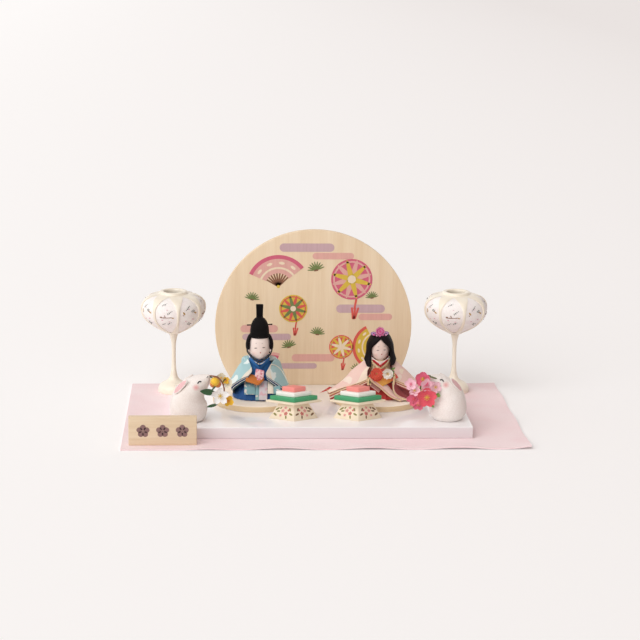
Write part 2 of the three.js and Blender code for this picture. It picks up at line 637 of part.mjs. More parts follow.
// Rabbit: sections along its back to the raised nose, [forward, rise, radius] as shares
const rabbitShares = [
  [0, 0, 0.68], [0, 0.1, 0.905], [0, 0.27, 0.975], [0.035, 0.47, 0.9], [0.2, 0.625, 0.745], [0.44, 0.745, 0.6],
  [0.71, 0.84, 0.45], [0.96, 0.925, 0.26], [1.09, 0.995, 0.07],
];
function rabbitForm(grow = 0) {
  const points = rabbitShares.map(([u, z]) => new THREE.Vector3(u * rabbit.radius, 0, z * rabbit.height));
  const spine = new THREE.CatmullRomCurve3(points);
  const side = new THREE.Vector3(0, 1, 0);
  const sections = rabbitShares.map(([, , share], i) => {
    const at = i / (rabbitShares.length - 1);
    const centre = spine.getPoint(at);
    const along = i ? spine.getTangent(at) : new THREE.Vector3(0, 0, 1);
    const across = new THREE.Vector3().crossVectors(side, along);
    const radius = share * rabbit.radius + grow;
    return Array.from({ length: facets.head }, (_, k) => {
      const angle = (k / facets.head) * 2 * halfTurn;
      const point = centre.clone().addScaledVector(across, radius * Math.cos(angle));
      return point.addScaledVector(side, radius * Math.sin(angle));
    });
  });
  return new LoftGeometry(sections, { capStart: true, capEnd: true });
}

function rabbitEar(side, back) {
  const { length, width, thickness, rise, side: apart, lean, roll } = ear;
  const form = new THREE.SphereGeometry(1 / 2, facets.rod, facets.thin).scale(length, thickness, width);
  form.rotateX((side * roll / 180) * halfTurn).rotateY(-(lean / 180) * halfTurn);
  form.translate(-back, side * apart, rise);
  return cut(form, rabbitForm(gap));
}

// Posy held in the mouth: places from the mouth as shares of its reach, [forward, towards the front, up]
const posies = {
  left: {
    stems: [
      [[0.03, 0.02, -0.02], [0.2, 0.15, -0.07], [0.52, 0.26, -0.22], [0.78, 0.3, -0.48], [1, 0.26, -0.67]],
      [[0.52, 0.26, -0.22], [0.5, 0.34, -0.42], [0.45, 0.4, -0.62]],
      [[0.45, 0.36, -0.66], [0.28, 0.36, -0.9], [0.12, 0.33, -1.06]],
      [[0.03, 0.05, -0.04], [-0.02, 0.26, -0.2], [-0.05, 0.41, -0.52]],
    ],
    buds: [[0.2, 0.26, -0.21]],
    blossoms: [
      { at: [0.43, 0.44, -0.7], radiusShare: 0.34 }, { at: [0.58, 0.3, -0.12], radiusShare: 0.14 },
      { at: [0.72, 0.4, -0.85], radiusShare: 0.17 },
    ],
    leaves: [{ at: [-0.06, 0.42, -0.56], turn: -15 }, { at: [0.15, 0.35, -1.08], turn: 10 }],
  },
  right: {
    stems: [
      [[0.03, 0.02, -0.02], [0.16, 0.12, -0.05], [0.34, 0.2, -0.42], [0.24, 0.2, -0.9], [0.02, 0.2, -1.08]],
      [[0.3, 0.2, -0.3], [0.1, 0.22, -0.46], [-0.18, 0.2, -0.62]],
    ],
    buds: [],
    blossoms: [
      { at: [0.3, 0.22, 0.03], radiusShare: 0.24 }, { at: [0.66, 0.2, -0.34], radiusShare: 0.29 },
      { at: [0.12, 0.24, -0.27], radiusShare: 0.27 }, { at: [0.38, 0.27, -0.52], radiusShare: 0.26 },
      { at: [0.22, 0.24, -0.82], radiusShare: 0.27 }, { at: [0.68, 0.22, -0.86], radiusShare: 0.29 },
    ],
    leaves: [{ at: [-0.25, 0.2, -0.64], turn: 10 }, { at: [-0.05, 0.2, -1.1], turn: -15 }],
  },
};

const leafShares = [[-0.5, 0], [-0.25, -0.42], [0.1, -0.5], [0.5, 0], [0.1, 0.5], [-0.25, 0.42]];
function leaf(turn) {
  const { leafLength, leafWidth, leafDepth } = posy;
  const shape = outline(leafShares.map(([x, y]) => [x * leafLength, y * leafWidth]));
  return slab(shape, leafDepth).rotateZ((turn / 180) * halfTurn).rotateX(halfTurn / 2);
}

function posyPiece({ stems, buds, blossoms, leaves }) {
  const place = ([forward, front, up]) => new THREE.Vector3(forward, -front, up).multiplyScalar(posy.reach);
  const move = (geometry, at) => geometry.translate(...place(at).toArray());
  return join(
    ...stems.map((route) => tube(route.map(place), posy.stem, facets.cord)),
    ...buds.map((at) => move(ball(posy.bud), at)),
    ...blossoms.map(({ at, radiusShare }) =>
      move(blossom(radiusShare * posy.reach, posy.blossomDepth, 0), at)),
    ...leaves.map(({ at, turn }) => move(leaf(turn), at)),
  );
}

// The scene: a group for each thing that can be picked up or turned
function nest(parent, x, y, z) {
  const inner = new THREE.Group();
  inner.position.set(x, y, z);
  parent.add(inner);
  return inner;
}

function add(parent, name, geometry, material) {
  const mesh = new THREE.Mesh(geometry, material);
  mesh.name = name;
  parent.add(mesh);
  return mesh;
}

const group = new THREE.Group();
addBase(group);
addEmperor(group);
addEmpress(group);
addLanterns(group);
addCakes(group);
addRabbits(group);
export default group;

function addBase(parent) {
  const { centreX, backY, width, depth, thickness, edge } = board;
  add(parent, "felt_mat", slab(rectangle(felt.width, felt.depth), felt.thickness), finishes.feltPink);

  const holeZ = thickness / 2;
  const xs = [centreX - dowel.spacing / 2, centreX + dowel.spacing / 2];
  const holes = (length) =>
    xs.map((x) => rod(dowel.radius + gap, 2 * length).translate(x, backY, feltTop + holeZ));
  const panel = slab(rectangle(width, depth), thickness, edge).translate(centreX, backY - depth / 2, feltTop);
  add(parent, "base_board", cut(panel, ...holes(dowel.inBoard + gap)), finishes.whiteLacquer);

  const dowelLength = dowel.inBoard + gap + dowel.inScreen;
  ["left", "right"].forEach((side, i) => {
    const pin = rod(dowel.radius, dowelLength);
    pin.translate(xs[i], backY - dowel.inBoard + dowelLength / 2, feltTop + holeZ);
    add(parent, `screen_dowel_${side}`, pin, finishes.paleWood);
  });

  const rise = screen.height - screen.radius;
  const start = Math.asin(Math.min(rise / screen.radius, 1));
  const disc = new THREE.Shape();
  disc.absarc(0, rise, screen.radius, -start, halfTurn + start, false);
  disc.closePath();
  const round = upright(disc, backY + gap, screen.thickness, screen.edge, facets.screen);
  round.translate(screen.centreX, 0, feltTop);
  add(parent, "round_screen", cut(round, ...holes(dowel.inScreen + 2 * gap)), finishes.maple);

  const sign = upright(rectangle(plate.width, plate.height), plate.frontY, plate.thickness, plate.edge);
  const signX = plate.fromSide + plate.width / 2 - felt.width / 2;
  add(parent, "name_plate", sign.translate(signX, 0, feltTop + plate.height / 2), finishes.paleWood);
}

function daisPiece() {
  const { radius, thickness, edge } = dais;
  const half = [[0, 0], [radius - edge, 0], [radius, edge]];
  return turned([...half, ...half.map(([r, z]) => [r, thickness - z]).reverse()], facets.dais);
}

function addEmperor(parent) {
  const round = nest(parent, places.emperorDais.x, places.emperorDais.y, boardTop);
  add(round, "emperor_dais", daisPiece(), finishes.paleWood);
  const doll = nest(round, places.emperor.x, places.emperor.y, dais.thickness);
  add(doll, "emperor_hakama", skirtForm(lord), finishes.navyCloth);
  add(doll, "emperor_under_robe", chestPiece(lord, lordHead), finishes.blueCloth);
  add(doll, "emperor_outer_robe", robe(lord, lordRobeShares, lordHairForm(gap)), finishes.paleBlueCloth);
  add(doll, "emperor_sleeve_left", lordSleeve(-1), finishes.paleBlueCloth);
  add(doll, "emperor_sleeve_right", lordSleeve(1), finishes.paleBlueCloth);
  add(doll, "emperor_lap_panels", cut(panelBlock(), skirtForm(lord, gap)), finishes.paleBlueCloth);
  add(doll, "emperor_cuffs", cuffs(), finishes.orangeCloth);
  add(doll, "emperor_baton", baton(), finishes.pinkCloth);
  add(doll, "emperor_neck_peg", neckPeg(lord, lordHead), finishes.paleWood);
  add(doll, "emperor_head", headPiece(lord, lordHead, lordHeadZ), finishes.skin);
  add(doll, "emperor_hair", lordHairPiece(), finishes.hair);
  add(doll, "emperor_crown", crownPiece(), finishes.blackGauze);
  const pin = rod(crownPin.radius, 2 * crownPin.reach, facets.thin).rotateZ(halfTurn / 2);
  pin.translate(0, -lordHead.forward, pinZ);
  add(doll, "emperor_crown_pin", pin, finishes.blackGauze);
  add(doll, "emperor_chin_cord", chinCordPiece(), finishes.blackGauze);
}

function addEmpress(parent) {
  const round = nest(parent, places.empressDais.x, places.empressDais.y, boardTop);
  add(round, "empress_dais", daisPiece(), finishes.paleWood);
  const doll = nest(round, places.empress.x, places.empress.y, dais.thickness);
  add(doll, "empress_hakama", skirtForm(lady), finishes.redCloth);
  add(doll, "empress_under_robe", chestPiece(lady, ladyHead), finishes.roseCloth);
  const headRoom = eggForm(ladyHead, gap).translate(0, 0, ladyHeadZ);
  add(doll, "empress_outer_robe", robe(lady, ladyRobeShares, headRoom), finishes.roseCloth);
  add(doll, "empress_sleeve_left", ladySleeve(-1), finishes.roseCloth);
  add(doll, "empress_sleeve_right", ladySleeve(1), finishes.roseCloth);
  add(doll, "empress_collar", collar(), finishes.redCloth);
  add(doll, "empress_lapel_left", lapel(-1), finishes.pinkCloth);
  add(doll, "empress_lapel_right", lapel(1), finishes.pinkCloth);
  add(doll, "empress_fan", fan(), finishes.orangeCloth);
  add(doll, "empress_red_flower", camellia(-1), finishes.redPetal);
  add(doll, "empress_white_flower", camellia(1), finishes.whitePetal);
  add(doll, "empress_neck_peg", neckPeg(lady, ladyHead), finishes.paleWood);
  add(doll, "empress_head", headPiece(lady, ladyHead, ladyHeadZ), finishes.skin);
  add(doll, "empress_hair", ladyHairPiece(), finishes.hair);
  add(doll, "empress_hair_ornament", ornamentPiece(), finishes.magentaPetal);
}

function addLanterns(parent) {
  for (const [side, turn] of Object.entries(lanternTurns)) {
    const reach = screen.radius + lantern.clear[side] + globe.radius;
    const x = screen.centreX + (side === "left" ? -reach : reach);
    const place = nest(parent, x, lantern.y, feltTop);
    add(place, `${side}_lantern_stand`, lanternStand(), finishes.creamPlastic);
    add(place, `${side}_lantern_frame`, lanternFrame(turn), finishes.creamPlastic);
    add(place, `${side}_lantern_shade`, lanternPaper(), finishes.paper);
  }
}

function addCakes(parent) {
  for (const [side, x] of Object.entries(standX)) {
    const place = nest(parent, x, stand.y, boardTop);
    add(place, `${side}_cake_stand`, cakeStand(), finishes.standPaint);
    let z = stand.height;
    for (const [colour, half] of Object.entries(cakeHalf)) {
      const thickness = cakeThickness[colour];
      add(place, `${side}_cake_${colour}`, rhombus(half, thickness).translate(0, 0, z), finishes[colour]);
      z += thickness;
    }
  }
}

function addRabbits(parent) {
  for (const [side, { x, y, turn, mirror, earBack }] of Object.entries(rabbitPlaces)) {
    const place = nest(parent, x, y, boardTop);
    place.scale.x = mirror;
    const body = nest(place, 0, 0, 0);
    body.rotation.z = (turn / 180) * halfTurn;
    add(body, `${side}_rabbit_body`, rabbitForm(), finishes.crepe);
    add(body, `${side}_rabbit_ear_near`, rabbitEar(-1, earBack), finishes.crepe);
    add(body, `${side}_rabbit_ear_far`, rabbitEar(1, earBack), finishes.crepe);
    const [forward, rise] = rabbitShares.at(-1);
    const reach = rabbit.radius * forward + gap;
    const way = body.rotation.z;
    const lips = nest(place, reach * Math.cos(way), reach * Math.sin(way), rabbit.height * rise);
    const face = rabbitForm(gap).rotateZ(way).translate(...lips.position.clone().negate().toArray());
    const petals = side === "left" ? finishes.whitePetal : finishes.magentaPetal;
    add(lips, `${side}_rabbit_posy`, cut(posyPiece(posies[side]), face), petals);
  }
}
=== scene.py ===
# Hina doll display set: emperor and empress on their daises, screen, lanterns, cake stands, rabbits.
# Pieces are modelled in millimetres in the frame of the CAD part and scaled to metres at the end.
import math

import bmesh
import bpy
from mathutils import Matrix, Vector
from mathutils.bvhtree import BVHTree


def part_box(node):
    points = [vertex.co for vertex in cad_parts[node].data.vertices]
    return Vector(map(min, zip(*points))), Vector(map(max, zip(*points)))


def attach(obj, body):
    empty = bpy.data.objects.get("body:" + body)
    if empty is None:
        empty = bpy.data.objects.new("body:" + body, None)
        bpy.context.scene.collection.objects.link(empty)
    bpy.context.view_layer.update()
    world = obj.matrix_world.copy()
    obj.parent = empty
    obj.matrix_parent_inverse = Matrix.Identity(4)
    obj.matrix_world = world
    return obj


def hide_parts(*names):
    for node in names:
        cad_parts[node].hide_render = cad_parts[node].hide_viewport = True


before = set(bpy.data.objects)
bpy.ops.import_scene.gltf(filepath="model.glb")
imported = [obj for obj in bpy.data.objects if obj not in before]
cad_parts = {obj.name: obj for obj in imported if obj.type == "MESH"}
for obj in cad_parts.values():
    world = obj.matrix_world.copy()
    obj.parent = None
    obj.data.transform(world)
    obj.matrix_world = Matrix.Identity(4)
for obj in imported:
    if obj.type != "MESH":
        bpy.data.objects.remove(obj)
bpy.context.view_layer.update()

mm = 0.001
fullTurn = 2 * math.pi


# Small helpers

def toLinear(code):
    channels = [int(code[i:i + 2], 16) / 255 for i in (1, 3, 5)]
    return [c / 12.92 if c <= 0.04045 else ((c + 0.055) / 1.055) ** 2.4 for c in channels] + [1]


def addNode(tree, kind, entries=None, stops=()):  # entries: properties, socket values and what is linked in
    node = tree.nodes.new(kind)
    for key, value in (entries or {}).items():
        if isinstance(value, bpy.types.Node):
            value = value.outputs[0]
        if isinstance(value, bpy.types.NodeSocket):
            tree.links.new(value, node.inputs[key])
        elif isinstance(key, str) and hasattr(node, key):
            setattr(node, key, value)
        else:
            isCode = isinstance(value, str) and value.startswith("#")
            node.inputs[key].default_value = toLinear(value) if isCode else value
    for k, (at, code) in enumerate(stops):
        element = node.color_ramp.elements[k] if k < 2 else node.color_ramp.elements.new(at)
        element.position = at
        element.color = toLinear(code)
    return node


def boxOf(node):  # lowest and highest corner in millimetres
    low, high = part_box(node)
    return Vector(low) / mm, Vector(high) / mm


def footOf(low, high):  # the middle of the underside of a box
    return Vector(((low.x + high.x) / 2, (low.y + high.y) / 2, low.z))


def blend(a, b, share):
    return a + (b - a) * share


def spline(points, count):  # a smooth curve through given points
    points = [Vector(p) for p in points]
    last = len(points) - 1
    curve = []
    for i in range(count):
        at = last * i / (count - 1)
        k = min(int(at), last - 1)
        t = at - k
        p0, p1, p2, p3 = (points[min(max(k + j, 0), last)] for j in (-1, 0, 1, 2))
        curve.append(0.5 * (2 * p1 + (p2 - p0) * t + (2 * p0 - 5 * p1 + 4 * p2 - p3) * t ** 2
                            + (3 * p1 - p0 - 3 * p2 + p3) * t ** 3))
    return curve


# Meshes

def facesOf(verts):
    return list({f for v in verts for f in v.link_faces})


def vertsOf(faces):
    return list({v for f in faces for v in f.verts})


def placeVerts(verts, points):
    for vert, point in zip(verts, points):
        vert.co = point


def bevelEdges(bm, edges, offset, segments):
    bmesh.ops.bevel(bm, geom=edges, offset=offset, segments=segments, profile=0.5, affect="EDGES", material=-1)


def addBlock(bm, low, high, edge, segments):  # a block between two corners, with its edges eased
    bmesh.ops.create_cube(bm, size=1)
    bmesh.ops.scale(bm, vec=high - low, verts=bm.verts)
    bevelEdges(bm, bm.edges[:], edge, segments)
    bmesh.ops.translate(bm, vec=(low + high) / 2, verts=bm.verts)


def addLoft(bm, rings, closed=True, ink=0):  # a skin through rings of equal count, with filled ends
    count = len(rings[0])
    if closed:
        ring = bmesh.ops.create_circle(bm, segments=count, radius=1)["verts"]
    else:
        ring = [bm.verts.new(p) for p in rings[0]]
        for a, b in zip(ring, ring[1:]):
            bm.edges.new((a, b))
    placeVerts(ring, rings[0])
    pairs = list(zip(ring, ring[1:] + ring[:1])) if closed else list(zip(ring, ring[1:]))
    firstEdges = [bm.edges.get(pair) for pair in pairs]
    edges = firstEdges
    faces = []
    for points in rings[1:]:
        made = bmesh.ops.extrude_edge_only(bm, edges=edges)["geom"]
        fresh = {g for g in made if isinstance(g, bmesh.types.BMVert)}
        ring = [next(e.other_vert(v) for e in v.link_edges if e.other_vert(v) in fresh) for v in ring]
        placeVerts(ring, points)
        faces += [g for g in made if isinstance(g, bmesh.types.BMFace)]
        pairs = list(zip(ring, ring[1:] + ring[:1])) if closed else list(zip(ring, ring[1:]))
        edges = [bm.edges.get(pair) for pair in pairs]
    if closed:
        for loop in (firstEdges, edges):
            faces += bmesh.ops.edgeloop_fill(bm, edges=loop)["faces"]
    for face in faces:
        face.material_index = ink
    return faces


def addTube(bm, points, radius, sides=10, ink=0, width=1):  # a round or flattened cord along points
    points = [Vector(p) for p in points]
    rings = []
    normal = None
    for i, point in enumerate(points):
        along = (points[min(i + 1, len(points) - 1)] - points[max(i - 1, 0)]).normalized()
        if normal is None:
            seed = Vector((0, 1, 0)) if abs(along.y) < 0.9 else Vector((1, 0, 0))
            normal = along.cross(seed).normalized()
        normal = (normal - along * normal.dot(along)).normalized()
        across = along.cross(normal)
        rings.append([point + radius * (width * normal * math.cos(fullTurn * k / sides)
                                        + across * math.sin(fullTurn * k / sides)) for k in range(sides)])
    addLoft(bm, rings, ink=ink)


def addTurned(bm, profile, segments):  # profile of (radius, height), turned about Z
    verts = [bm.verts.new((r, 0, z)) for r, z in profile]
    edges = [bm.edges.new(pair) for pair in zip(verts, verts[1:])]
    before = set(bm.faces)
    bmesh.ops.spin(bm, geom=verts + edges, cent=(0, 0, 0), axis=(0, 0, 1), angle=fullTurn,
                   steps=segments, use_merge=True)
    bmesh.ops.remove_doubles(bm, verts=bm.verts, dist=0.0005)
    return [f for f in bm.faces if f not in before]


def addPatch(bm, rows, thickness, ink=0):  # a cloth patch through rows of points, given its thickness
    faces = addLoft(bm, rows, closed=False, ink=ink)
    bmesh.ops.recalc_face_normals(bm, faces=faces)
    bmesh.ops.solidify(bm, geom=faces, thickness=thickness)
    for face in bm.faces:
        if face.material_index < 0:
            face.material_index = ink


def thicken(bm, verts, thickness, place, ink=0):  # gives a shaped grid its thickness and puts it in place
    faces = facesOf(verts)
    before = set(bm.faces) - set(faces)
    bmesh.ops.solidify(bm, geom=faces, thickness=thickness)
    fresh = [f for f in bm.faces if f not in before]
    for face in fresh:
        face.material_index = ink
    bmesh.ops.transform(bm, matrix=place, verts=vertsOf(fresh))


def finishPiece(name, bm, materials, body, nodes=(), place=None, sharp=38, recalc=True):
    if place is not None:
        bmesh.ops.transform(bm, matrix=place, verts=bm.verts)
    bmesh.ops.scale(bm, vec=(mm, mm, mm), verts=bm.verts)
    if recalc:
        bmesh.ops.recalc_face_normals(bm, faces=bm.faces)
    mesh = bpy.data.meshes.new(name)
    bm.to_mesh(mesh)
    bm.free()
    for material in materials:
        mesh.materials.append(material)
    mesh.shade_smooth()
    mesh.set_sharp_from_angle(angle=math.radians(sharp))
    piece = bpy.data.objects.new(name, mesh)
    bpy.context.collection.objects.link(piece)
    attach(piece, body)
    if nodes:
        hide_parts(*nodes)
    return piece


# Materials: each starts from what the real surface is

bandScale = 0.314  # a wave texture's scale for bands one unit apart


def newMaterial(name, roughness, metallic=0.0, **sockets):
    material = bpy.data.materials.new(name)
    material.use_nodes = True
    tree = material.node_tree
    shader = tree.nodes["Principled BSDF"]
    shader.inputs["Roughness"].default_value = roughness
    shader.inputs["Metallic"].default_value = metallic
    for key, value in sockets.items():
        shader.inputs[key.replace("_", " ")].default_value = value
    return material, tree, shader


# object coordinates, turned and stretched
def onPiece(tree, turn=(0, 0, 0), stretch=(1, 1, 1), shift=(0, 0, 0)):
    coords = addNode(tree, "ShaderNodeTexCoord").outputs["Object"]
    return addNode(tree, "ShaderNodeMapping", {"Vector": coords, "Rotation": turn, "Scale": stretch,
                                               "Location": shift})


def stain(tree, tone, place, size, stops, amount=1.0, detail=3.0, grit=0.5, way="MULTIPLY"):
    # an uneven change of colour over a tone; size is the width of one patch in millimetres
    field = addNode(tree, "ShaderNodeTexNoise", {"Vector": place, "Scale": 1 / (size * mm), "Detail": detail,
                                                 "Roughness": grit})
    ramp = addNode(tree, "ShaderNodeValToRGB", {"Fac": field}, stops)
    mixed = addNode(tree, "ShaderNodeMixRGB", {"blend_type": way, "Fac": amount, "Color1": tone,
                                               "Color2": ramp})
    return mixed, field


def figure(tree, tone, place, size, share, code, shift=0.0, softness=0.02):
    # a woven or printed figure: one flat colour wherever a patchy field is above its share
    moved = addNode(tree, "ShaderNodeMapping", {"Vector": place, "Location": (shift, shift * 0.6, shift * 1.7)})
    field = addNode(tree, "ShaderNodeTexNoise", {"Vector": moved, "Scale": 1 / (size * mm), "Detail": 1.5,
                                                 "Roughness": 0.35})
    edge = addNode(tree, "ShaderNodeMapRange", {"Value": field, "From Min": share,
                                                "From Max": share + softness})
    return addNode(tree, "ShaderNodeMixRGB", {"Fac": edge, "Color1": tone, "Color2": code})


def weave(tree, place, spacing):  # two sets of threads that cross; spacing in millimetres
    sets = [addNode(tree, "ShaderNodeTexWave", {
        "Vector": place, "bands_direction": way, "Scale": bandScale / (spacing * mm), "Distortion": 0.4,
                                                "Detail": 1.0,
        "Detail Scale": 2.0}) for way in ("X", "Z")]
    return addNode(tree, "ShaderNodeMath", {"operation": "MULTIPLY", 0: sets[0], 1: sets[1]})


def dress(tree, shader, tone, height, depth, strength=1.0):  # colour, and relief of a depth in millimetres
    bump = addNode(tree, "ShaderNodeBump", {"Height": height, "Strength": strength, "Distance": depth * mm})
    tree.links.new(tone.outputs[0], shader.inputs["Base Color"])
    tree.links.new(bump.outputs[0], shader.inputs["Normal"])


def silk(name, code, figures=(), shade=None, spacing=0.8, sheen=0.25, shift=0.0):
    # dyed silk crepe or brocade: threads that show as a fine relief, with painted shade where they dip, a
    # slightly uneven dye, and woven figures
    material, tree, shader = newMaterial(name, 0.7, Sheen_Weight=sheen, Sheen_Roughness=0.4)
    place = onPiece(tree, shift=(shift, 0, shift))
    patches = addNode(tree, "ShaderNodeTexNoise", {"Vector": place, "Scale": 1 / (9 * mm)})
    tone = addNode(tree, "ShaderNodeMixRGB", {"Fac": patches, "Color1": code, "Color2": shade or code})
    for k, (size, share, figureCode) in enumerate(figures):
        tone = figure(tree, tone, place, size, share, figureCode, 0.13 * (k + 1))
    cross = weave(tree, place, spacing)
    # the hollows between the threads are painted darker: painted shade
    paintedShadeInDips = addNode(tree, "ShaderNodeValToRGB", {"Fac": cross}, [(0, "#b6b0ad"), (0.6, "#ffffff")])
    tone = addNode(tree, "ShaderNodeMixRGB", {"blend_type": "MULTIPLY", "Fac": 0.2, "Color1": tone,
                                              "Color2": paintedShadeInDips})
    dress(tree, shader, tone, cross, 0.09)
    return material


def wood(name, codes, along=(1, 1, 0.045), grain=2.2, roughness=0.5):
    # close-grained pale wood, planed and sanded: long soft streaks one way, and short pores
    material, tree, shader = newMaterial(name, roughness)
    place = onPiece(tree, stretch=along)
    broad = addNode(tree, "ShaderNodeTexNoise", {"Vector": place, "Scale": 1 / (grain * 5 * mm),
                                                 "Roughness": 0.6})
    dark, middle, light = codes
    tone = addNode(tree, "ShaderNodeValToRGB", {"Fac": broad}, [(0.3, dark), (0.5, middle), (0.72, light)])
    tone, fine = stain(tree, tone, place, grain * 0.6, [(0.3, dark), (0.65, light)], 0.35, 4, 0.65, "MIX")
    dress(tree, shader, tone, fine, 0.05, 0.6)
    return material


def paint(name, code, roughness, coat=0.0):
    # brushed or sprayed paint on wood: an even colour with a faint orange peel
    material, tree, shader = newMaterial(name, roughness, Coat_Weight=coat, Coat_Roughness=0.08)
    place = onPiece(tree)
    tone = stain(tree, code, place, 16, [(0.3, "#cfc6c0"), (0.7, "#ffffff")], 0.1)[0]
    peel = addNode(tree, "ShaderNodeTexNoise", {"Vector": place, "Scale": 1 / (2.4 * mm), "Detail": 3.0})
    dress(tree, shader, tone, peel, 0.03, 0.5)
    return material


def crepe(name, code, tip="#e9e2dd", size=0.7):
    # crinkled silk crepe: a pebbled surface of tiny soft bumps, paler on top of each one because the hollows
    # between them are painted darker as painted shade
    material, tree, shader = newMaterial(name, 0.8, Sheen_Weight=0.35, Sheen_Roughness=0.5)
    place = onPiece(tree)
    tone = stain(tree, code, place, 12, [(0.35, tip), (0.65, "#ffffff")], 0.3)[0]
    pebbles = addNode(tree, "ShaderNodeTexVoronoi", {"Vector": place, "Scale": 1 / (size * mm)})
    # painted shade in the hollows between the bumps
    paintedShadeInDips = addNode(tree, "ShaderNodeValToRGB", {"Fac": pebbles}, [(0.2, "#ffffff"), (0.75, "#c9bfba")])
    tone = addNode(tree, "ShaderNodeMixRGB", {"blend_type": "MULTIPLY", "Fac": 0.35, "Color1": tone,
                                              "Color2": paintedShadeInDips})
    dress(tree, shader, tone, pebbles, -0.22)
    return material


def spots(tree, base, origin, marks):
    # soft-edged ovals painted on the front: (x, z, half width, half height, degrees, colour, softness, amount)
    coords = addNode(tree, "ShaderNodeTexCoord").outputs["Object"]
    for x, z, wide, high, turn, code, soft, amount in marks:
        middle = ((origin[0] + x) * mm, 0, (origin[2] + z) * mm)
        offset = addNode(tree, "ShaderNodeVectorMath", {"operation": "SUBTRACT", 0: coords, 1: middle})
        turned = addNode(tree, "ShaderNodeVectorRotate", {"rotation_type": "Y_AXIS", "Vector": offset,
                                                          "Angle": math.radians(turn)})
        share = addNode(tree, "ShaderNodeVectorMath", {"operation": "MULTIPLY", 0: turned,
                                                       1: (1 / (wide * mm), 0, 1 / (high * mm))})
        reach = addNode(tree, "ShaderNodeVectorMath", {"operation": "LENGTH", 0: share}).outputs["Value"]
        mask = addNode(tree, "ShaderNodeMapRange", {"Value": reach, "From Min": 1.0, "From Max": 1 - soft,
                                                    "To Max": amount})
        base = addNode(tree, "ShaderNodeMixRGB", {"Fac": mask, "Color1": base, "Color2": code})
    return base


# Camera, light and floor

view = {
    "place": (-104.75, -1772.7, 507.6),  # millimetres
    "down": 0.2250, "yaw": 0.058, "roll": 0.0140,  # radians
    "lens": 100, "sensor": 36,
}
light = {
    # the floor's two colours: the greyer right one is painted shade
    "backdrop": "#fbf8f6", "floor": ("#ffffff", "#ebe8e7"), "floorGlow": 0.1,
    "fill": 0.8, "fillTints": ("#ffffff", "#a08e84"),  # a wide window on the left, a warm wall on the right
    "key": 1.68, "keyTurn": (math.radians(49), 0, math.radians(-40)), "keySpread": 60,
}


def addCamera():
    down, yaw, roll = view["down"], view["yaw"], view["roll"]
    ahead = Vector((math.sin(yaw) * math.cos(down), math.cos(yaw) * math.cos(down), -math.sin(down)))
    right = Vector((math.cos(yaw), -math.sin(yaw), 0))
    up = right.cross(ahead)
    across = right * math.cos(roll) + up * math.sin(roll)
    above = up * math.cos(roll) - right * math.sin(roll)
    data = bpy.data.cameras.new("camera")
    data.lens = view["lens"]
    data.sensor_width = view["sensor"]
    data.clip_end = 60
    camera = bpy.data.objects.new("camera", data)
    bpy.context.collection.objects.link(camera)
    turn = Matrix((across, above, -ahead)).transposed().to_4x4()
    camera.matrix_world = Matrix.Translation(Vector(view["place"]) * mm) @ turn
    bpy.context.scene.camera = camera


def addSun(name, strength, turn, spread):
    data = bpy.data.lights.new(name, "SUN")
    data.energy = strength
    data.angle = math.radians(spread)
    sun = bpy.data.objects.new(name, data)
    sun.rotation_euler = turn
    bpy.context.collection.objects.link(sun)


def seenRays(tree):  # 1 for what the camera, a reflection or a clear material looks at
    path = addNode(tree, "ShaderNodeLightPath").outputs
    either = addNode(tree, "ShaderNodeMath", {"operation": "MAXIMUM", 0: path["Is Camera Ray"],
                                              1: path["Is Glossy Ray"]})
    return addNode(tree, "ShaderNodeMath", {"operation": "MAXIMUM", 0: either, 1: path["Is Transmission Ray"]})


def addStudio():
    scene = bpy.context.scene
    scene.view_settings.view_transform = "Standard"
    world = bpy.data.worlds.new("studio")
    scene.world = world
    world.use_nodes = True
    tree = world.node_tree
    tree.nodes.clear()
    ray = addNode(tree, "ShaderNodeTexCoord").outputs["Generated"]
    across = addNode(tree, "ShaderNodeSeparateXYZ", {"Vector": ray}).outputs["X"]
    share = addNode(tree, "ShaderNodeMapRange", {"Value": across, "From Min": -0.8, "From Max": 0.8})
    left, right = light["fillTints"]
    tint = addNode(tree, "ShaderNodeMixRGB", {"Fac": share, "Color1": left, "Color2": right})
    fill = addNode(tree, "ShaderNodeBackground", {"Color": tint, "Strength": light["fill"]})
    back = addNode(tree, "ShaderNodeBackground", {"Color": light["backdrop"], "Strength": 1.0})
    mixed = addNode(tree, "ShaderNodeMixShader", {0: seenRays(tree), 1: fill, 2: back})
    addNode(tree, "ShaderNodeOutputWorld", {"Surface": mixed})
    addSun("keyLight", light["key"], light["keyTurn"], light["keySpread"])

    bm = bmesh.new()
    bmesh.ops.create_grid(bm, x_segments=1, y_segments=1, size=30)
    mesh = bpy.data.meshes.new("studioFloor")
    bm.to_mesh(mesh)
    bm.free()
    # seamless paper, painted a little greyer to the right: painted shade
    material, tree, shader = newMaterial("paperFloorPaintedShade", 0.9, Specular_IOR_Level=0.0)
    coords = addNode(tree, "ShaderNodeTexCoord").outputs["Object"]
    across = addNode(tree, "ShaderNodeSeparateXYZ", {"Vector": coords}).outputs["X"]
    share = addNode(tree, "ShaderNodeMapRange", {"Value": across, "From Min": -1.1, "From Max": 1.7})
    left, right = light["floor"]
    tone = addNode(tree, "ShaderNodeMixRGB", {"Fac": share, "Color1": left, "Color2": right})
    tree.links.new(tone.outputs[0], shader.inputs["Base Color"])
    tree.links.new(tone.outputs[0], shader.inputs["Emission Color"])
    glow = addNode(tree, "ShaderNodeMath", {"operation": "MULTIPLY", 0: seenRays(tree), 1: light["floorGlow"]})
    tree.links.new(glow.outputs[0], shader.inputs["Emission Strength"])
    mesh.materials.append(material)
    floor = bpy.data.objects.new("studioFloor", mesh)
    bpy.context.collection.objects.link(floor)
    floor.location = (0, 0, -0.0002)


print("camera, light and floor")
addCamera()
addStudio()


# Felt mat, board, screen, dowels and name plate

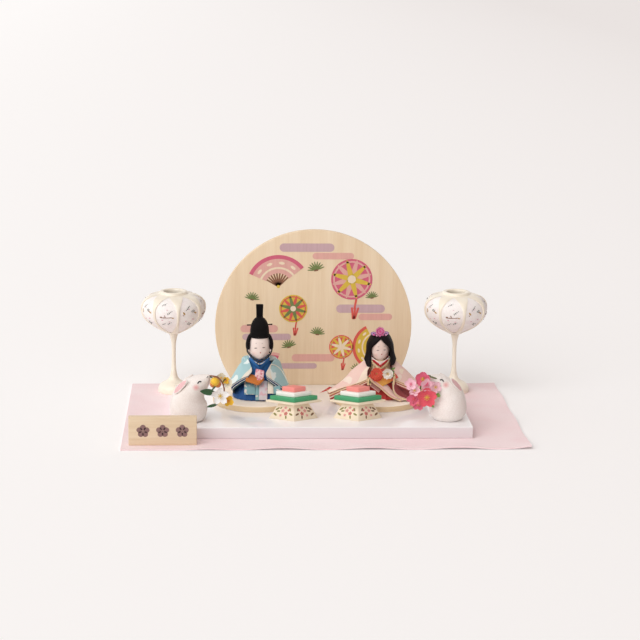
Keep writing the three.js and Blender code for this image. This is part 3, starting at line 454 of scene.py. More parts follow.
felt = {
    "colour": "#fbe3e5", "shade": "#f9dbde", "columns": 160, "rows": 100,
    "lift": 1.9, "waveLength": 86, "front": 30, "side": 34, "fade": 40,
        # how far in from the edges the waves reach
}
# the front colour is a darker painted shade for the board's front face
board = {"edge": 1.1, "top": "#fdfafb", "front": "#e4dbdd"}


def feltMaterial():
    # pressed wool felt: no weave, a short tangled pile that scatters light and mutes its edge
    material, tree, shader = newMaterial("pressedWoolFelt", 0.95, Sheen_Weight=0.5, Sheen_Roughness=0.6,
                                         Specular_IOR_Level=0.1)
    place = onPiece(tree)
    tone = figure(tree, felt["colour"], place, 40, 0.4, felt["shade"], softness=0.25)
    tone, fibres = stain(tree, tone, place, 1.6, [(0.3, "#e2d2d0"), (0.65, "#ffffff")], 0.25, 6, 0.75)
    dress(tree, shader, tone, fibres, 0.25)
    return material


def buildFelt():
    low, high = boxOf("felt_mat")
    width, depth, thickness = high - low
    bm = bmesh.new()
    bmesh.ops.create_grid(bm, x_segments=felt["columns"], y_segments=felt["rows"], size=0.5)
    bmesh.ops.scale(bm, vec=(width, depth, 1), verts=bm.verts)
    for vert in bm.verts:  # soft waves where nothing stands on the mat: its front edge and right side
        x, y = vert.co.x, vert.co.y
        nearFront = max(0, 1 - (y + depth / 2) / felt["front"])
        nearSide = max(0, 1 - (width / 2 - x) / felt["side"])
        free = 1 if x > -width / 4 else max(0, 1 - (-width / 4 - x) / felt["fade"])
        wave = (1 - math.cos(x / felt["waveLength"] * fullTurn)) * nearFront ** 2 * free
        wave += (1 - math.cos((y - 20) / felt["waveLength"] * fullTurn)) * nearSide ** 2
        vert.co.z = thickness / 2 + felt["lift"] / 2 * wave
    bmesh.ops.solidify(bm, geom=bm.faces[:], thickness=thickness)
    lowest = min(v.co.z for v in bm.verts)
    bmesh.ops.translate(bm, vec=(0, 0, low.z - lowest), verts=bm.verts)
    piece = finishPiece("feltMat", bm, [feltMaterial()], "base", ["felt_mat"])


def lacquerMaterial():
    # polyester lacquer over fibreboard, flow coated: hard, even and glossy, so it mirrors what stands on it; its
    # darker front face is painted shade
    material, tree, shader = newMaterial("whitePolyesterLacquer", 0.16, Coat_Weight=0.6, Coat_Roughness=0.06)
    normal = addNode(tree, "ShaderNodeNewGeometry").outputs["Normal"]
    facing = addNode(tree, "ShaderNodeSeparateXYZ", {"Vector": normal}).outputs["Y"]
    # faces turned to the front take the darker colour: painted shade
    front = addNode(tree, "ShaderNodeMapRange", {"Value": facing, "From Min": -0.3, "From Max": -0.9})
    tone = addNode(tree, "ShaderNodeMixRGB", {"Fac": front, "Color1": board["top"], "Color2": board["front"]})
    ripple = addNode(tree, "ShaderNodeTexNoise", {"Vector": onPiece(tree), "Scale": 1 / (18 * mm)})
    dress(tree, shader, tone, ripple, 0.02, 0.4)
    return material


def buildBoard():
    low, high = boxOf("base_board")
    bm = bmesh.new()
    addBlock(bm, low, high, board["edge"], 4)
    finishPiece("lacqueredBoard", bm, [lacquerMaterial()], "base", ["base_board"])


def inPicture(centre, turn=0):  # a place in the picture plane, turned by degrees
    return Matrix.Translation((centre[0], 0, centre[1])) @ Matrix.Rotation(-math.radians(turn), 4, "Y")


def ringSector(bm, centre, inner, outer, start, end, steps, ink, level):  # part of a ring
    first = [bm.verts.new((r * math.cos(start), 0, r * math.sin(start))) for r in (inner, outer)]
    edge = bm.edges.new(first)
    before = set(bm.faces)
    bmesh.ops.spin(bm, geom=first + [edge], cent=(0, 0, 0), axis=(0, -1, 0), angle=end - start, steps=steps)
    raiseInk(bm, [f for f in bm.faces if f not in before], inPicture(centre), ink, level)


def oval(bm, centre, wide, high, turn, ink, level, sides=28):
    made = bmesh.ops.create_circle(bm, cap_ends=True, segments=sides, radius=1,
                                   matrix=Matrix.Rotation(math.pi / 2, 4, "X"))["verts"]
    raiseInk(bm, facesOf(made), inPicture(centre, turn) @ Matrix.Diagonal((wide, 1, high, 1)), ink, level)


def disc(bm, centre, radius, ink, level, sides=28):
    oval(bm, centre, radius, radius, 0, ink, level, sides)


def bar(bm, centre, length, height, turn, ink, level):  # a stroke with round ends
    made = bmesh.ops.create_grid(bm, x_segments=1, y_segments=1, size=0.5,
                                 matrix=Matrix.Rotation(math.pi / 2, 4, "X"))["verts"]
    bmesh.ops.scale(bm, vec=(length, 1, height), verts=made)
    face = made[0].link_faces[0]
    corners = bmesh.ops.bevel(bm, geom=made, offset=height * 0.499, segments=6, profile=0.5,
                              affect="VERTICES", material=-1)["verts"]
    faces = list(set(facesOf(corners)) | ({face} if face.is_valid else set()))
    raiseInk(bm, faces, inPicture(centre, turn), ink, level)


inkStep = 0.06  # millimetres that one printed colour lies over the last


def raiseInk(bm, faces, place, ink, level):  # from just inside the surface to its own level in front of it
    verts = vertsOf(faces)
    bmesh.ops.transform(bm, matrix=place, verts=verts)
    bmesh.ops.translate(bm, vec=(0, inkStep, 0), verts=verts)
    made = bmesh.ops.extrude_face_region(bm, geom=faces)["geom"]
    top = [g for g in made if isinstance(g, bmesh.types.BMVert)]
    bmesh.ops.translate(bm, vec=(0, -inkStep * (level + 2), 0), verts=top)
    for face in facesOf(verts + top):
        face.material_index = ink


picture = {  # places and sizes in millimetres from the middle of the screen
    "edge": 0.7,  # how far the screen's own edges are eased
    "inks": {"pink": "#e0aba0", "magenta": "#d0627b", "yellow": "#d9b944", "red": "#d85a50", "leaf": "#71804a",
             "mauve": "#c9a9ae", "cream": "#efdcc0", "brown": "#8a5c44"},
    "mist": [(-8, 86, 58, 9, "mauve"), (20, 77, 44, 7, "pink"), (50, 20, 52, 9, "mauve"),
             (66, 11, 36, 7, "pink"),
             (-58, -2, 40, 8, "pink"), (-50, -11, 52, 7, "mauve"), (0, -34, 46, 8, "pink"),
             (-16, -43, 40, 6, "mauve")],
    "balls": [(40, 52, 22, "magenta", "yellow", "pink"), (-22, 20, 15, "yellow", "leaf", "red"),
              (30, -22, 13, "red", "cream", "yellow")],
    "fans": [(-38, 44, 34, 38, "pink", "magenta"), (68, -22, 26, 118, "yellow", "red"),
             (-44, -52, 24, 70, "magenta", "pink")],
    "pines": [(2, 62, 9, 12), (-66, 30, 8, -10), (62, 32, 7, 8), (4, -8, 8, -6), (-26, -22, 8, 14),
              (48, -48, 8, -12)],
}


def drawBall(bm, inks, x, z, radius, ground, band, thread):  # a wound thread ball with a cord and tassel
    disc(bm, (x, z), radius, inks[ground], 4, 48)
    for k in range(6):
        oval(bm, (x, z), radius * 0.97, radius * 0.13, k * 30 + 15, inks[band if k % 2 else thread], 5 + k % 2,
             24)
    disc(bm, (x, z), radius * 0.2, inks["cream"], 7)
    ringSector(bm, (x, z), radius * 0.82, radius * 0.9, 0, fullTurn, 48, inks[thread], 6)
    bar(bm, (x + radius * 0.2, z - radius * 1.2), radius * 0.62, radius * 0.1, 80, inks["red"], 2)
    for k in (-1, 0, 1):
        bar(bm, (x + radius * (0.16 + 0.1 * k), z - radius * 1.68), radius * 0.6, radius * 0.1, 84 - 12 * k,
            inks["red"], 3)


def drawFan(bm, inks, x, z, radius, lean, leafInk, edgeInk):  # an open folding fan
    start = math.radians(lean)
    spread = math.radians(118)
    ribs = 9
    for k in range(ribs):
        a = start + spread * (k + 0.5) / ribs
        reach = radius * 0.5
        bar(bm, (x + math.cos(a) * reach / 2, z + math.sin(a) * reach / 2), reach, radius * 0.05,
            math.degrees(a),
            inks["brown"], 2)
    for inner, outer, ink, level in ((0.42, 0.9, leafInk, 3), (0.88, 1, edgeInk, 4), (0.56, 0.62, "cream", 5)):
        ringSector(bm, (x, z), radius * inner, radius * outer, start, start + spread, 30, inks[ink], level)
    for k in range(4):
        a = start + spread * (k + 0.5) / 4
        oval(bm, (x + math.cos(a) * radius * 0.75, z + math.sin(a) * radius * 0.75), radius * 0.09,
             radius * 0.045,
             math.degrees(a) + 90, inks["cream"], 5)
    disc(bm, (x, z), radius * 0.05, inks["yellow"], 4)


def drawPine(bm, inks, x, z, radius, lean):  # a clipped pine tuft: needles out of a half round
    for k in range(9):
        a = math.radians(lean + 20 * k + 10)
        oval(bm, (x + math.cos(a) * radius * 0.52, z + math.sin(a) * radius * 0.52), radius * 0.52,
             radius * 0.085,
             math.degrees(a), inks["leaf"], 2 + k % 2, 14)
    bar(bm, (x, z - radius * 0.05), radius * 0.5, radius * 0.16, lean, inks["brown"], 4)


def printInk(name, code):
    # screen-printed ink on bare wood: flat colour that lets a little of the grain through
    material, tree, shader = newMaterial(name, 0.7)
    place = onPiece(tree, stretch=(1, 1, 0.045))
    tone, grain = stain(tree, code, place, 2.2, [(0.3, "#b79f8c"), (0.65, "#ffffff")], 0.16, 4, 0.65)
    dress(tree, shader, tone, grain, 0.02, 0.5)
    return material


def buildScreen(maple):
    low, high = boxOf("round_screen")
    radius = (high.x - low.x) / 2
    centre = Vector(((low.x + high.x) / 2, 0, high.z - radius))
    thickness = high.y - low.y
    bm = bmesh.new()
    bmesh.ops.create_circle(bm, cap_ends=True, segments=160, radius=radius)
    bmesh.ops.translate(bm, vec=(0, 0, thickness / 2), verts=bm.verts)
    made = bmesh.ops.extrude_face_region(bm, geom=bm.faces[:])["geom"]
    bmesh.ops.translate(bm, vec=(0, 0, -thickness), verts=[g for g in made if isinstance(g, bmesh.types.BMVert)])
    foot = -(centre.z - low.z)  # the flat edge that it stands on
    bmesh.ops.bisect_plane(bm, geom=bm.verts[:] + bm.edges[:] + bm.faces[:], plane_co=(0, foot, 0),
                           plane_no=(0, -1, 0), clear_outer=True)
    bmesh.ops.holes_fill(bm, edges=bm.edges[:], sides=0)
    rims = [e for e in bm.edges if len(e.link_faces) == 2 and e.calc_face_angle() > 1]
    bevelEdges(bm, rims, picture["edge"], 3)
    upright = Matrix.Rotation(math.pi / 2, 4, "X")
    stand = Matrix.Translation((centre.x, (low.y + high.y) / 2, centre.z)) @ upright
    finishPiece("roundScreen", bm, [maple], "screen", ["round_screen"], stand, recalc=False)

    bm = bmesh.new()
    inks = {name: k for k, name in enumerate(picture["inks"])}
    for x, z, length, height, ink in picture["mist"]:
        bar(bm, (x, z), length, height, 0, inks[ink], 1)
    for x, z, size, lean in picture["pines"]:
        drawPine(bm, inks, x, z, size, lean)
    for x, z, size, lean, leafInk, edgeInk in picture["fans"]:
        drawFan(bm, inks, x, z, size, lean, leafInk, edgeInk)
    for x, z, size, *threadInks in picture["balls"]:
        drawBall(bm, inks, x, z, size, *threadInks)
    place = Matrix.Translation((centre.x, low.y, centre.z))
    materials = [printInk(f"{name}Ink", code) for name, code in picture["inks"].items()]
    finishPiece("screenPicture", bm, materials, "screen", place=place)


plate = {"edge": 0.6, "ink": "#8b6b69", "blossoms": [(-19, 0, 6.6), (0, 0, 6.6), (19, 0, 6.6)]}


def buildPlate(cypress):
    low, high = boxOf("name_plate")
    bm = bmesh.new()
    addBlock(bm, low, high, plate["edge"], 3)
    finishPiece("namePlate", bm, [cypress], "name_plate", ["name_plate"])

    bm = bmesh.new()
    for x, z, radius in plate["blossoms"]:  # plain plum blossoms of five round petals
        for k in range(5):
            a = math.radians(90 + 72 * k)
            disc(bm, (x + math.cos(a) * radius * 0.56, z + math.sin(a) * radius * 0.56), radius * 0.42, 0, 1)
        disc(bm, (x, z), radius * 0.13, 0, 2)
    middle = (low + high) / 2
    finishPiece("plateBlossoms", bm, [printInk("mauveBrownInk", plate["ink"])], "name_plate",
                place=Matrix.Translation((middle.x, low.y, middle.z)))


def buildDowels(lime):
    for side in ("left", "right"):
        low, high = boxOf(f"screen_dowel_{side}")
        radius = (high.x - low.x) / 2
        length = high.y - low.y
        bm = bmesh.new()
        ease = 0.5
        addTurned(bm, [(0, 0), (radius - ease, 0), (radius, ease), (radius, length - ease),
                       (radius - ease, length),
                       (0, length)], 24)
        place = Matrix.Translation(((low.x + high.x) / 2, high.y, (low.z + high.z) / 2))
        place @= Matrix.Rotation(math.pi / 2, 4, "X")
        finishPiece(f"dowel.{side}", bm, [lime], "base", [f"screen_dowel_{side}"], place)


dais = {"edge": 1.1, "segments": 128}


def buildDaises(lime, shadedEdgeWood):
    for doll in ("emperor", "empress"):
        low, high = boxOf(f"{doll}_dais")
        radius = (high.x - low.x) / 2
        height = high.z - low.z
        edge = dais["edge"]
        bm = bmesh.new()
        bends = (0, 0.4, 0.8, 1.2, math.pi / 2)
        rounded = [(radius - edge + edge * math.sin(a), edge - edge * math.cos(a)) for a in bends]
        faces = addTurned(bm, [(0, 0), *rounded, *[(r, height - z) for r, z in reversed(rounded)], (0, height)],
                          dais["segments"])
        # the upright rim takes a darker copy of the limewood: painted shade
        for face in faces:
            if abs(face.normal.z) < 0.5:
                face.material_index = 1
        finishPiece(f"{doll}Dais", bm, [lime, shadedEdgeWood], f"{doll}_dais", [f"{doll}_dais"],
                    Matrix.Translation(footOf(low, high)))


# What both dolls share: sections, smooth skins, layered cloth, heads and hair

def ringAt(z, wide, front, back, middle=0.0, count=96, power=2.3, pleat=0.0, pleats=0):
    # a rounded section; front and back are its reaches from middle, pleat is the depth of its folds
    points = []
    for k in range(count):
        a = fullTurn * k / count
        c, s = math.cos(a), math.sin(a)
        reach = (abs(c) ** power + abs(s) ** power) ** (-1 / power) * (1 + pleat * math.cos(pleats * a))
        points.append((wide * c * reach, middle + s * reach * (back if s > 0 else front), z))
    return points


def addRings(bm, levels, middle, count, power, pleat=0.0, pleats=0):
    # each level is (z, half width, front reach, back reach)
    addLoft(bm, [ringAt(*level, middle, count, power, pleat, pleats) for level in levels])


def skin(stations, along, across):  # rows of points on a smooth surface through a few given curves
    curves = [spline(station, across) for station in stations]
    columns = [spline([curve[j] for curve in curves], along) for j in range(across)]
    return [[column[i] for column in columns] for i in range(along)]


def tucked(rows, step, fold):  # a layer of cloth further in, which shows lower down at the hems
    layer = []
    onward = rows[-1][0] - rows[-2][0]
    onward.z = 0
    for i, row in enumerate(rows):
        middle = sum(row, Vector()) / len(row)
        t = i / (len(rows) - 1)
        reach = fold["longer"] * step * max(0, (t - 0.8) * 5)
        drop = blend(fold["drop"][0], fold["drop"][1], t)
        points = []
        for j, point in enumerate(row):
            u = j / (len(row) - 1)
            hem = max(0, 1 - 5 * min(u, 1 - u))
            fresh = point + (middle - point).normalized() * fold["inward"] * step * (1 - 0.6 * hem)
            fresh += Vector((0, 0, -drop * step * hem)) + onward.normalized() * reach
            points.append(fresh)
        layer.append(points)
    return layer


def addSleeve(bm, stations, layers, fold):  # layers are (ink, step) from the outermost in; the last is filled
    rows = skin(stations, 26, 33)
    for i, row in enumerate(rows):
        wave = fold["depth"] * math.sin(fullTurn * (fold["count"] * i / (len(rows) - 1) + 0.3))
        for j, point in enumerate(row):
            u = j / (len(row) - 1)
            point.y += wave * (1 - u) * u * 3
    for ink, step in layers:
        layer = tucked(rows, step, fold)
        if step == layers[-1][1]:
            addLoft(bm, layer, ink=ink)
        else:
            addPatch(bm, layer, fold["thickness"], ink)
    return rows


def addTurnBack(bm, rows, columns, reach, ink):  # lining folded back over the opening, widest at the hem
    flap = []
    for j in range(columns + 1):
        share = reach * (1 - j / columns) + 0.4
        points = []
        for t in (0, 0.25, 0.5, 0.75, 1):
            at = t * share
            i = min(int(at), len(rows) - 2)
            points.append(rows[i][j].lerp(rows[i + 1][j], at - i) + Vector((0, -0.5, 0.35)))
        flap.append(points)
    addPatch(bm, flap, 0.5, ink)


def backSheet(levels, count, pleat, pleats):  # a robe's back, open at the front
    opening = 24  # degrees that each front edge lies past the side
    rows = []
    for z, wide, back, front, middle in levels:
        row = []
        for k in range(count):
            a = math.radians((180 + 2 * opening) * k / (count - 1) - opening)
            fold = 1 + pleat * math.cos(pleats * a) * max(0, 1 - (z - levels[0][0]) / 30)
            reach = back if math.sin(a) > 0 else front
            row.append(Vector((wide * math.cos(a) * fold, middle + reach * math.sin(a) * fold, z)))
        rows.append(row)
    columns = [spline([row[j] for row in rows], 24) for j in range(count)]
    return [[column[i] for column in columns] for i in range(24)]


def addRobe(bm, levels, layers, fold):  # a back sheet with the linings that show below its hem
    rows = backSheet(levels, 73, fold["pleat"], fold["pleats"])
    for k, ink in enumerate(layers):
        layer = []
        for i, row in enumerate(rows):
            hem = max(0, 1 - i / 5)
            layer.append([p + Vector((-p.x, -p.y + 3, 0)).normalized() * fold["inward"] * k
                          - Vector((0, 0, fold["drop"] * k * hem)) for p in row])
        addPatch(bm, layer, fold["thickness"], ink)


def strap(bm, points, half, thickness, ink, count=22):  # a folded band of cloth, half its width to each side
    addTube(bm, spline(points, count), thickness / 2, 12, ink, 2 * half / thickness)


def headRings(shape):
    rings = [ringAt(*level, -1, 64, 2.15) for level in shape["levels"]]
    columns = [spline([ring[j] for ring in rings], 44) for j in range(64)]
    rings = [[column[i].copy() for column in columns] for i in range(44)]
    nx, nz, wide, high, proud = shape["nose"]
    # and cheeks
    swells = [(nx, nz, wide, high, proud)] + [(side * 6, nz - 2.5, 3, 2.6, 0.25) for side in (-1, 1)]
    for ring in rings:
        for point in ring:
            if point.y < 0:
                for x, z, wide, high, proud in swells:
                    point.y -= proud * math.exp(-((point.x - x) / wide) ** 2 - ((point.z - z) / high) ** 2)
    return rings


def faceMaterial(name, code, origin, marks):
    # cast resin under a coat of shell-white lacquer, rubbed to a soft gloss, with the features brushed on
    material, tree, shader = newMaterial(name, 0.42, Coat_Weight=0.15, Coat_Roughness=0.35)
    place = onPiece(tree)
    tone = stain(tree, code, place, 7, [(0.3, "#f3e6e0"), (0.7, "#ffffff")], 0.35)[0]
    tone = spots(tree, tone, origin, marks)
    grain = addNode(tree, "ShaderNodeTexNoise", {"Vector": place, "Scale": 1 / (0.5 * mm), "Detail": 3.0})
    dress(tree, shader, tone, grain, 0.015, 0.4)
    return material


def hairMaterial():
    # dyed silk floss combed straight: strands run down, painted darker between them so each shows its own thin
    # painted highlight
    material, tree, shader = newMaterial("combedSilkFloss", 0.5, Sheen_Weight=0.04, Sheen_Roughness=0.3,
                                         Specular_IOR_Level=0.1)
    place = onPiece(tree, stretch=(1, 1, 0.06))
    # strand colour follows the strand relief: painted shade between strands
    tone, strands = stain(tree, "#170e10", place, 0.7, [(0.3, "#5a4c4c"), (0.7, "#ffffff")], 0.8, 4, 0.6)
    dress(tree, shader, tone, strands, 0.22)
    return material


def addStrands(bm, strands, count, length, thickness, ridge):  # hair through a few given strands
    rows = skin(strands, count, length)
    for i, row in enumerate(rows):
        wave = ridge * (math.sin(i * 2.1) + 0.5 * math.sin(i * 5.3 + 1))
        for j, point in enumerate(row):
            out = Vector((point.x, point.y - 1, 0)).normalized()
            point += out * wave * min(1, 3 * j / len(row))
    addPatch(bm, rows, thickness)


def addPetal(bm, place, radius, wide, cup, curl, ink, thickness=0.3):  # root at place, tip along its X axis
    made = bmesh.ops.create_grid(bm, x_segments=6, y_segments=4, size=1)["verts"]
    for vert in made:
        t, s = (vert.co.x + 1) / 2, vert.co.y
        half = wide * radius * math.sin(math.pi * min(1, 0.12 + 0.83 * t) ** 1.3) ** 0.7
        notch = 0.08 * radius * max(0, t - 0.8) * 5 * (1 - abs(s))
        vert.co = (radius * t - notch, s * half, cup * radius * t * t + curl * radius * s * s * t)
    thicken(bm, made, thickness, place, ink)


def addBead(bm, place, radius, ink, flat=1.0, detail=2):  # a stamen tip, a bud or a knot
    seat = Matrix.Translation(place) @ Matrix.Diagonal((1, flat, 1, 1))
    made = bmesh.ops.create_icosphere(bm, subdivisions=detail, radius=radius, matrix=seat)["verts"]
    for face in facesOf(made):
        face.material_index = ink


def facing(centre, tiltX=0.0, tiltZ=0.0):  # turns a flower from the XY plane to face the front
    return Matrix.Translation(centre) @ Matrix.Rotation(math.radians(tiltZ), 4, "Z") \
        @ Matrix.Rotation(math.radians(90 + tiltX), 4, "X")


def addBlossom(bm, place, radius, petals, inks, cup=0.25, wide=0.42, turn=0.0, rings=1, stamens=7, heart=0.16):
    petalInk, heartInk = inks
    for ring in range(rings):
        share = 1 - 0.3 * ring
        for k in range(petals):
            a = math.radians(turn) + fullTurn * (k + 0.5 * ring) / petals
            lift = Matrix.Translation((0, 0, radius * (0.03 + 0.1 * ring + 0.02 * (k % 2))))
            spin = Matrix.Rotation(a, 4, "Z") @ Matrix.Rotation(-0.35 * ring, 4, "Y")
            addPetal(bm, place @ lift @ spin, radius * share, wide, cup, 0.2, petalInk,
                     max(0.22, radius * 0.05))
    middle = place @ Vector((0, 0, radius * (0.12 + 0.1 * rings)))
    addBead(bm, middle, radius * heart, heartInk)
    for k in range(stamens):
        a = fullTurn * k / stamens
        tip = place @ (radius * Vector((0.26 * math.cos(a), 0.26 * math.sin(a), 0.28 + 0.1 * rings)))
        addTube(bm, [middle, (middle + tip) / 2, tip], radius * 0.025, 5, heartInk)
        addBead(bm, tip, radius * 0.055, heartInk, detail=1)


def addLeaf(bm, place, length, wide, bend, ink):  # a folded crepe leaf with a raised middle rib
    made = bmesh.ops.create_grid(bm, x_segments=10, y_segments=4, size=1)["verts"]
    for vert in made:
        t, s = (vert.co.x + 1) / 2, vert.co.y
        half = wide * math.sin(math.pi * t) ** 0.8 / 2 + 0.05
        vert.co = (length * t, s * half, bend * length * t * t + 0.16 * wide * abs(s))
    thicken(bm, made, 0.4, place, ink)


# Emperor

emperor = {
    "body": "emperor", "place": (-63.5, 5.0, 19.7),  # the middle of the doll on its dais
    "robe": "#b3d3d6", "robeShade": "#9cc4c8", "robeFigure": "#e8f1ee", "white": "#fbfaf5", "navy": "#1f3f66",
    "cream": "#efe5d4", "teal": "#20474f", "collar": "#2b74b8", "collarShade": "#1d5a9a", "hakama": "#15589c",
    "hakamaDark": "#0d3f78", "cuff": "#da8234", "cuffShade": "#c97029", "baton": "#f9d3d6",
           "batonFigure": "#e58f9e",
    "panel": "#86b0b6", "panelFigure": "#dcd5cf", "strip": "#d9cfd4", "stripFigure": "#e0b7c0",
    "fold": {"inward": 0.45, "drop": (0.95, 1.5), "longer": -0.7, "depth": 0.5, "count": 1.5, "thickness": 0.7},
    "hems": [(0, 0), (2, 0.6), (1, 1.1), (2, 3.0), (1, 3.4), (5, 5.2)],  # ink, then how far down
    "robeFold": {"pleat": 0.02, "pleats": 11, "inward": 0.8, "drop": 1.0, "thickness": 0.6},
    "sleeves": {  # four curves from the hand to the tip, each from the front hem over the ridge to the back hem
        "left": [[(-12.4, -21.6, 26.6), (-8.4, -18.4, 30.2), (-8.8, -13.5, 34.4), (-12.6, -5.5, 41.0),
                  (-15.5, 4.5, 38), (-16.5, 8, 30)],
                 [(-18.5, -20.6, 23.7), (-17.5, -15, 30.6), (-18.4, -4, 36.6), (-20, 4, 31), (-20.5, 8.5, 19)],
                 [(-24.5, -19, 19.8), (-24.2, -13, 25), (-25, -5, 27.2), (-26, 4, 20.5), (-24, 8, 12)],
                 [(-30.6, -16.5, 14.8), (-31.6, -12.5, 15.6), (-32.2, -8, 15.4), (-30.8, 2, 12.4),
                  (-27, 8, 8.3)]],
        "right": [[(7.2, -21.2, 26.4), (6.7, -19.6, 29.4), (10.2, -14, 34.2), (13.8, -8.2, 38.4),
                   (17.0, 0, 40.8),
                   (18, 5, 37), (17.5, 8.5, 30)],
                  [(12.2, -20.2, 22.6), (13.4, -15, 29.4), (17, -7, 33.6), (21, 0.5, 37.0), (22, 6, 29),
                   (20.5, 8.5, 19)],
                  [(18.2, -18.8, 18.6), (19.6, -13.5, 23.8), (23.2, -6, 27.4), (24.8, 1, 26.6), (25, 6, 20),
                   (23.5, 8, 12)],
                  [(25.5, -16.4, 11.8), (27.5, -12, 13.4), (30.0, -8, 14.4), (30.6, -1, 13.2), (29, 5, 11),
                   (26, 8, 8.3)]],
    },
    "back": [(2.8, 22.5, 23, 10, 3), (12, 21, 20.5, 9.5, 3), (24, 19, 16.5, 9, 3), (34, 18.6, 13, 8.6, 3),
             (39.6, 17.8, 10.8, 8, 3), (41.5, 13.5, 7.6, 6, 3), (42.0, 9.6, 5.2, 4.6, 2.6)],
    "head": {"levels": [(40.5, 0.6, 6.4, 1.5), (40.9, 3.5, 8.4, 4), (42.7, 7.1, 10, 6.6),
                        (45.7, 9.4, 10.7, 8.4),
                        (49.5, 10.3, 10.9, 9.2), (53.5, 10.5, 10.9, 9.6), (58, 10.4, 10.8, 9.8),
                        (61.6, 9.7, 10.3, 9.2),
                        (63.8, 8.4, 9.2, 8.4), (65, 5.4, 6.6, 6), (65.6, 0.8, 1.5, 1.5)],
             "nose": (0.7, 50.9, 0.9, 1.5, 0.75)},
    "face": "#f0e0d8", "blush": "#eec5b8", "lash": "#3e2e2c", "lip": "#b02f2a", "brow": "#b09a94",
}


def dollPiece(doll, name, bm, materials, nodes, sharp=38, body=None):
    finishPiece(name, bm, materials, body or doll["body"], nodes, Matrix.Translation(doll["place"]),
                sharp)


def buildEmperor():
    e = emperor
    navySilk = silk("navyTwillSilk", e["hakama"], shade=e["hakamaDark"], spacing=0.7, sheen=0.05)
    paleBlue = silk("paleBlueFiguredSilk", e["robe"], [(13, 0.56, e["robeFigure"])], e["robeShade"], shift=0.02)
    white = silk("whiteLiningSilk", e["white"], spacing=0.6)
    navy = silk("navyLiningSilk", e["navy"], spacing=0.6)
    cream = silk("creamLiningSilk", e["cream"], spacing=0.6)
    teal = silk("tealLiningSilk", e["teal"], spacing=0.6)
    blue = silk("royalBlueCollarSilk", e["collar"], shade=e["collarShade"], spacing=0.6, sheen=0.05)

    bm = bmesh.new()  # wide pleated trousers, spread over the crossed legs
    levels = [(0.2, 26.4, 21.6, 20.4), (1.2, 27.2, 22.4, 21.2), (4, 26.8, 22, 21), (9, 24.5, 19.5, 18.5),
              (14, 21, 15.5, 15),
              (18, 17, 12, 12.5), (18.9, 15, 10.5, 11)]
    addRings(bm, levels, 0.5, 144, 2.6, 0.018, 30)
    dollPiece(e, "emperorHakama", bm, [navySilk], ["emperor_hakama"])

    bm = bmesh.new()  # chest in blue, gathered in fine ribs, with the crossed collar over a white one
    levels = [(19.3, 15.6, 11, 11.5), (26, 14.8, 11.2, 11), (33, 12.6, 10.8, 9.6), (38.6, 10.8, 9.6, 8.4),
              (40.2, 8.4, 7.6, 6.8)]
    addRings(bm, levels, 0, 120, 2.2, 0.02, 30)
    for side in (1, -1):
        strap(bm, [(side * 8.6, 5, 41.2), (side * 10.4, -2, 42.0), (side * 9.2, -8.4, 40.8),
                   (side * 4.6, -12.2, 36.4),
                   (-side * 2.2, -12.9 - 0.2 * side, 28.5)], 2.6, 1.0, 0)
        strap(bm, [(side * 9.4, 3, 43.4), (side * 10.9, -4, 44.2), (side * 8.4, -9.4, 41.2),
                   (side * 4.4, -12.2, 38.6),
                   (side * 0.4, -13.2 - 0.1 * side, 36.9)], 0.8, 1.1, 1)
    dollPiece(e, "emperorChest", bm, [blue, white], ["emperor_under_robe"])

    bm = bmesh.new()
    addRobe(bm, e["back"], [0, 1, 2, 3], e["robeFold"])
    levels = [(38.2, 16.2, 7.2, 9.4), (40.6, 15.4, 6.6, 8.6), (41.7, 12.5, 5.2, 6.8), (41.9, 9, 4, 5)]
    addRings(bm, levels, 2.6, 72, 2.3)
    dollPiece(e, "emperorRobe", bm, [paleBlue, white, navy, cream], ["emperor_outer_robe"])

    for side, stations in e["sleeves"].items():
        bm = bmesh.new()
        rows = addSleeve(bm, stations, e["hems"], e["fold"])
        addTurnBack(bm, rows, 12 if side == "left" else 14, 9, 3)
        if side == "right":  # the pale edge of the fold along its ridge
            addTube(bm, [row[13] + Vector((0, -0.3, 0.1)) for row in rows[:-1]], 0.45, 8, 3)
        dollPiece(e, f"emperorSleeve.{side}", bm, [paleBlue, white, navy, cream, teal, teal],
                    [f"emperor_sleeve_{side}"])

    buildLapPanels(cream)


def buildLapPanels(cream):
    e = emperor
    panelSilk = silk("palePanelBrocade", e["panel"], [(5, 0.57, e["panelFigure"])], spacing=0.7, shift=0.05)
    stripSilk = silk("pinkishPanelBrocade", e["strip"], [(4, 0.55, e["stripFigure"])], spacing=0.7, shift=0.09)
    bm = bmesh.new()  # cloth ends that hang from the waist over the lap
    panels = [  # corners at the top and at the bottom, then the ink
        ((-15.6, -4.9, -12.6, 19.2), (-15.8, -4.6, -23.4, 7.6), 0),
        ((-4.4, 0.2, -13.4, 19.6), (-4.3, -0.6, -24.8, 1.9), 0),
        ((-0.4, 7.6, -13.6, 19.4), (-0.9, 7.6, -24.9, 2.1), 1),
        ((8.2, 13.6, -13, 19.2), (7.9, 14.0, -23.6, 8.6), 2),
        ((13.0, 21, -12.2, 18.6), (13.2, 21.4, -22.6, 8.0), 0),
    ]
    across = (0, 0.33, 0.67, 1)
    for (left, right, y, z), (lowLeft, lowRight, lowY, lowZ), ink in panels:
        top = [(blend(left, right, t), y - 0.5 * math.sin(math.pi * t), z) for t in across]
        knee = [(blend(blend(left, lowLeft, 0.6), blend(right, lowRight, 0.6), t),
                 blend(y, lowY, 0.72) - 0.7 * math.sin(math.pi * t), blend(z, lowZ, 0.5)) for t in across]
        low = [(blend(lowLeft, lowRight, t), lowY, lowZ) for t in across]
        addPatch(bm, skin([top, knee, low], 14, 9), 0.9, ink)
    dollPiece(e, "emperorLapPanels", bm, [panelSilk, stripSilk, cream], ["emperor_lap_panels"])


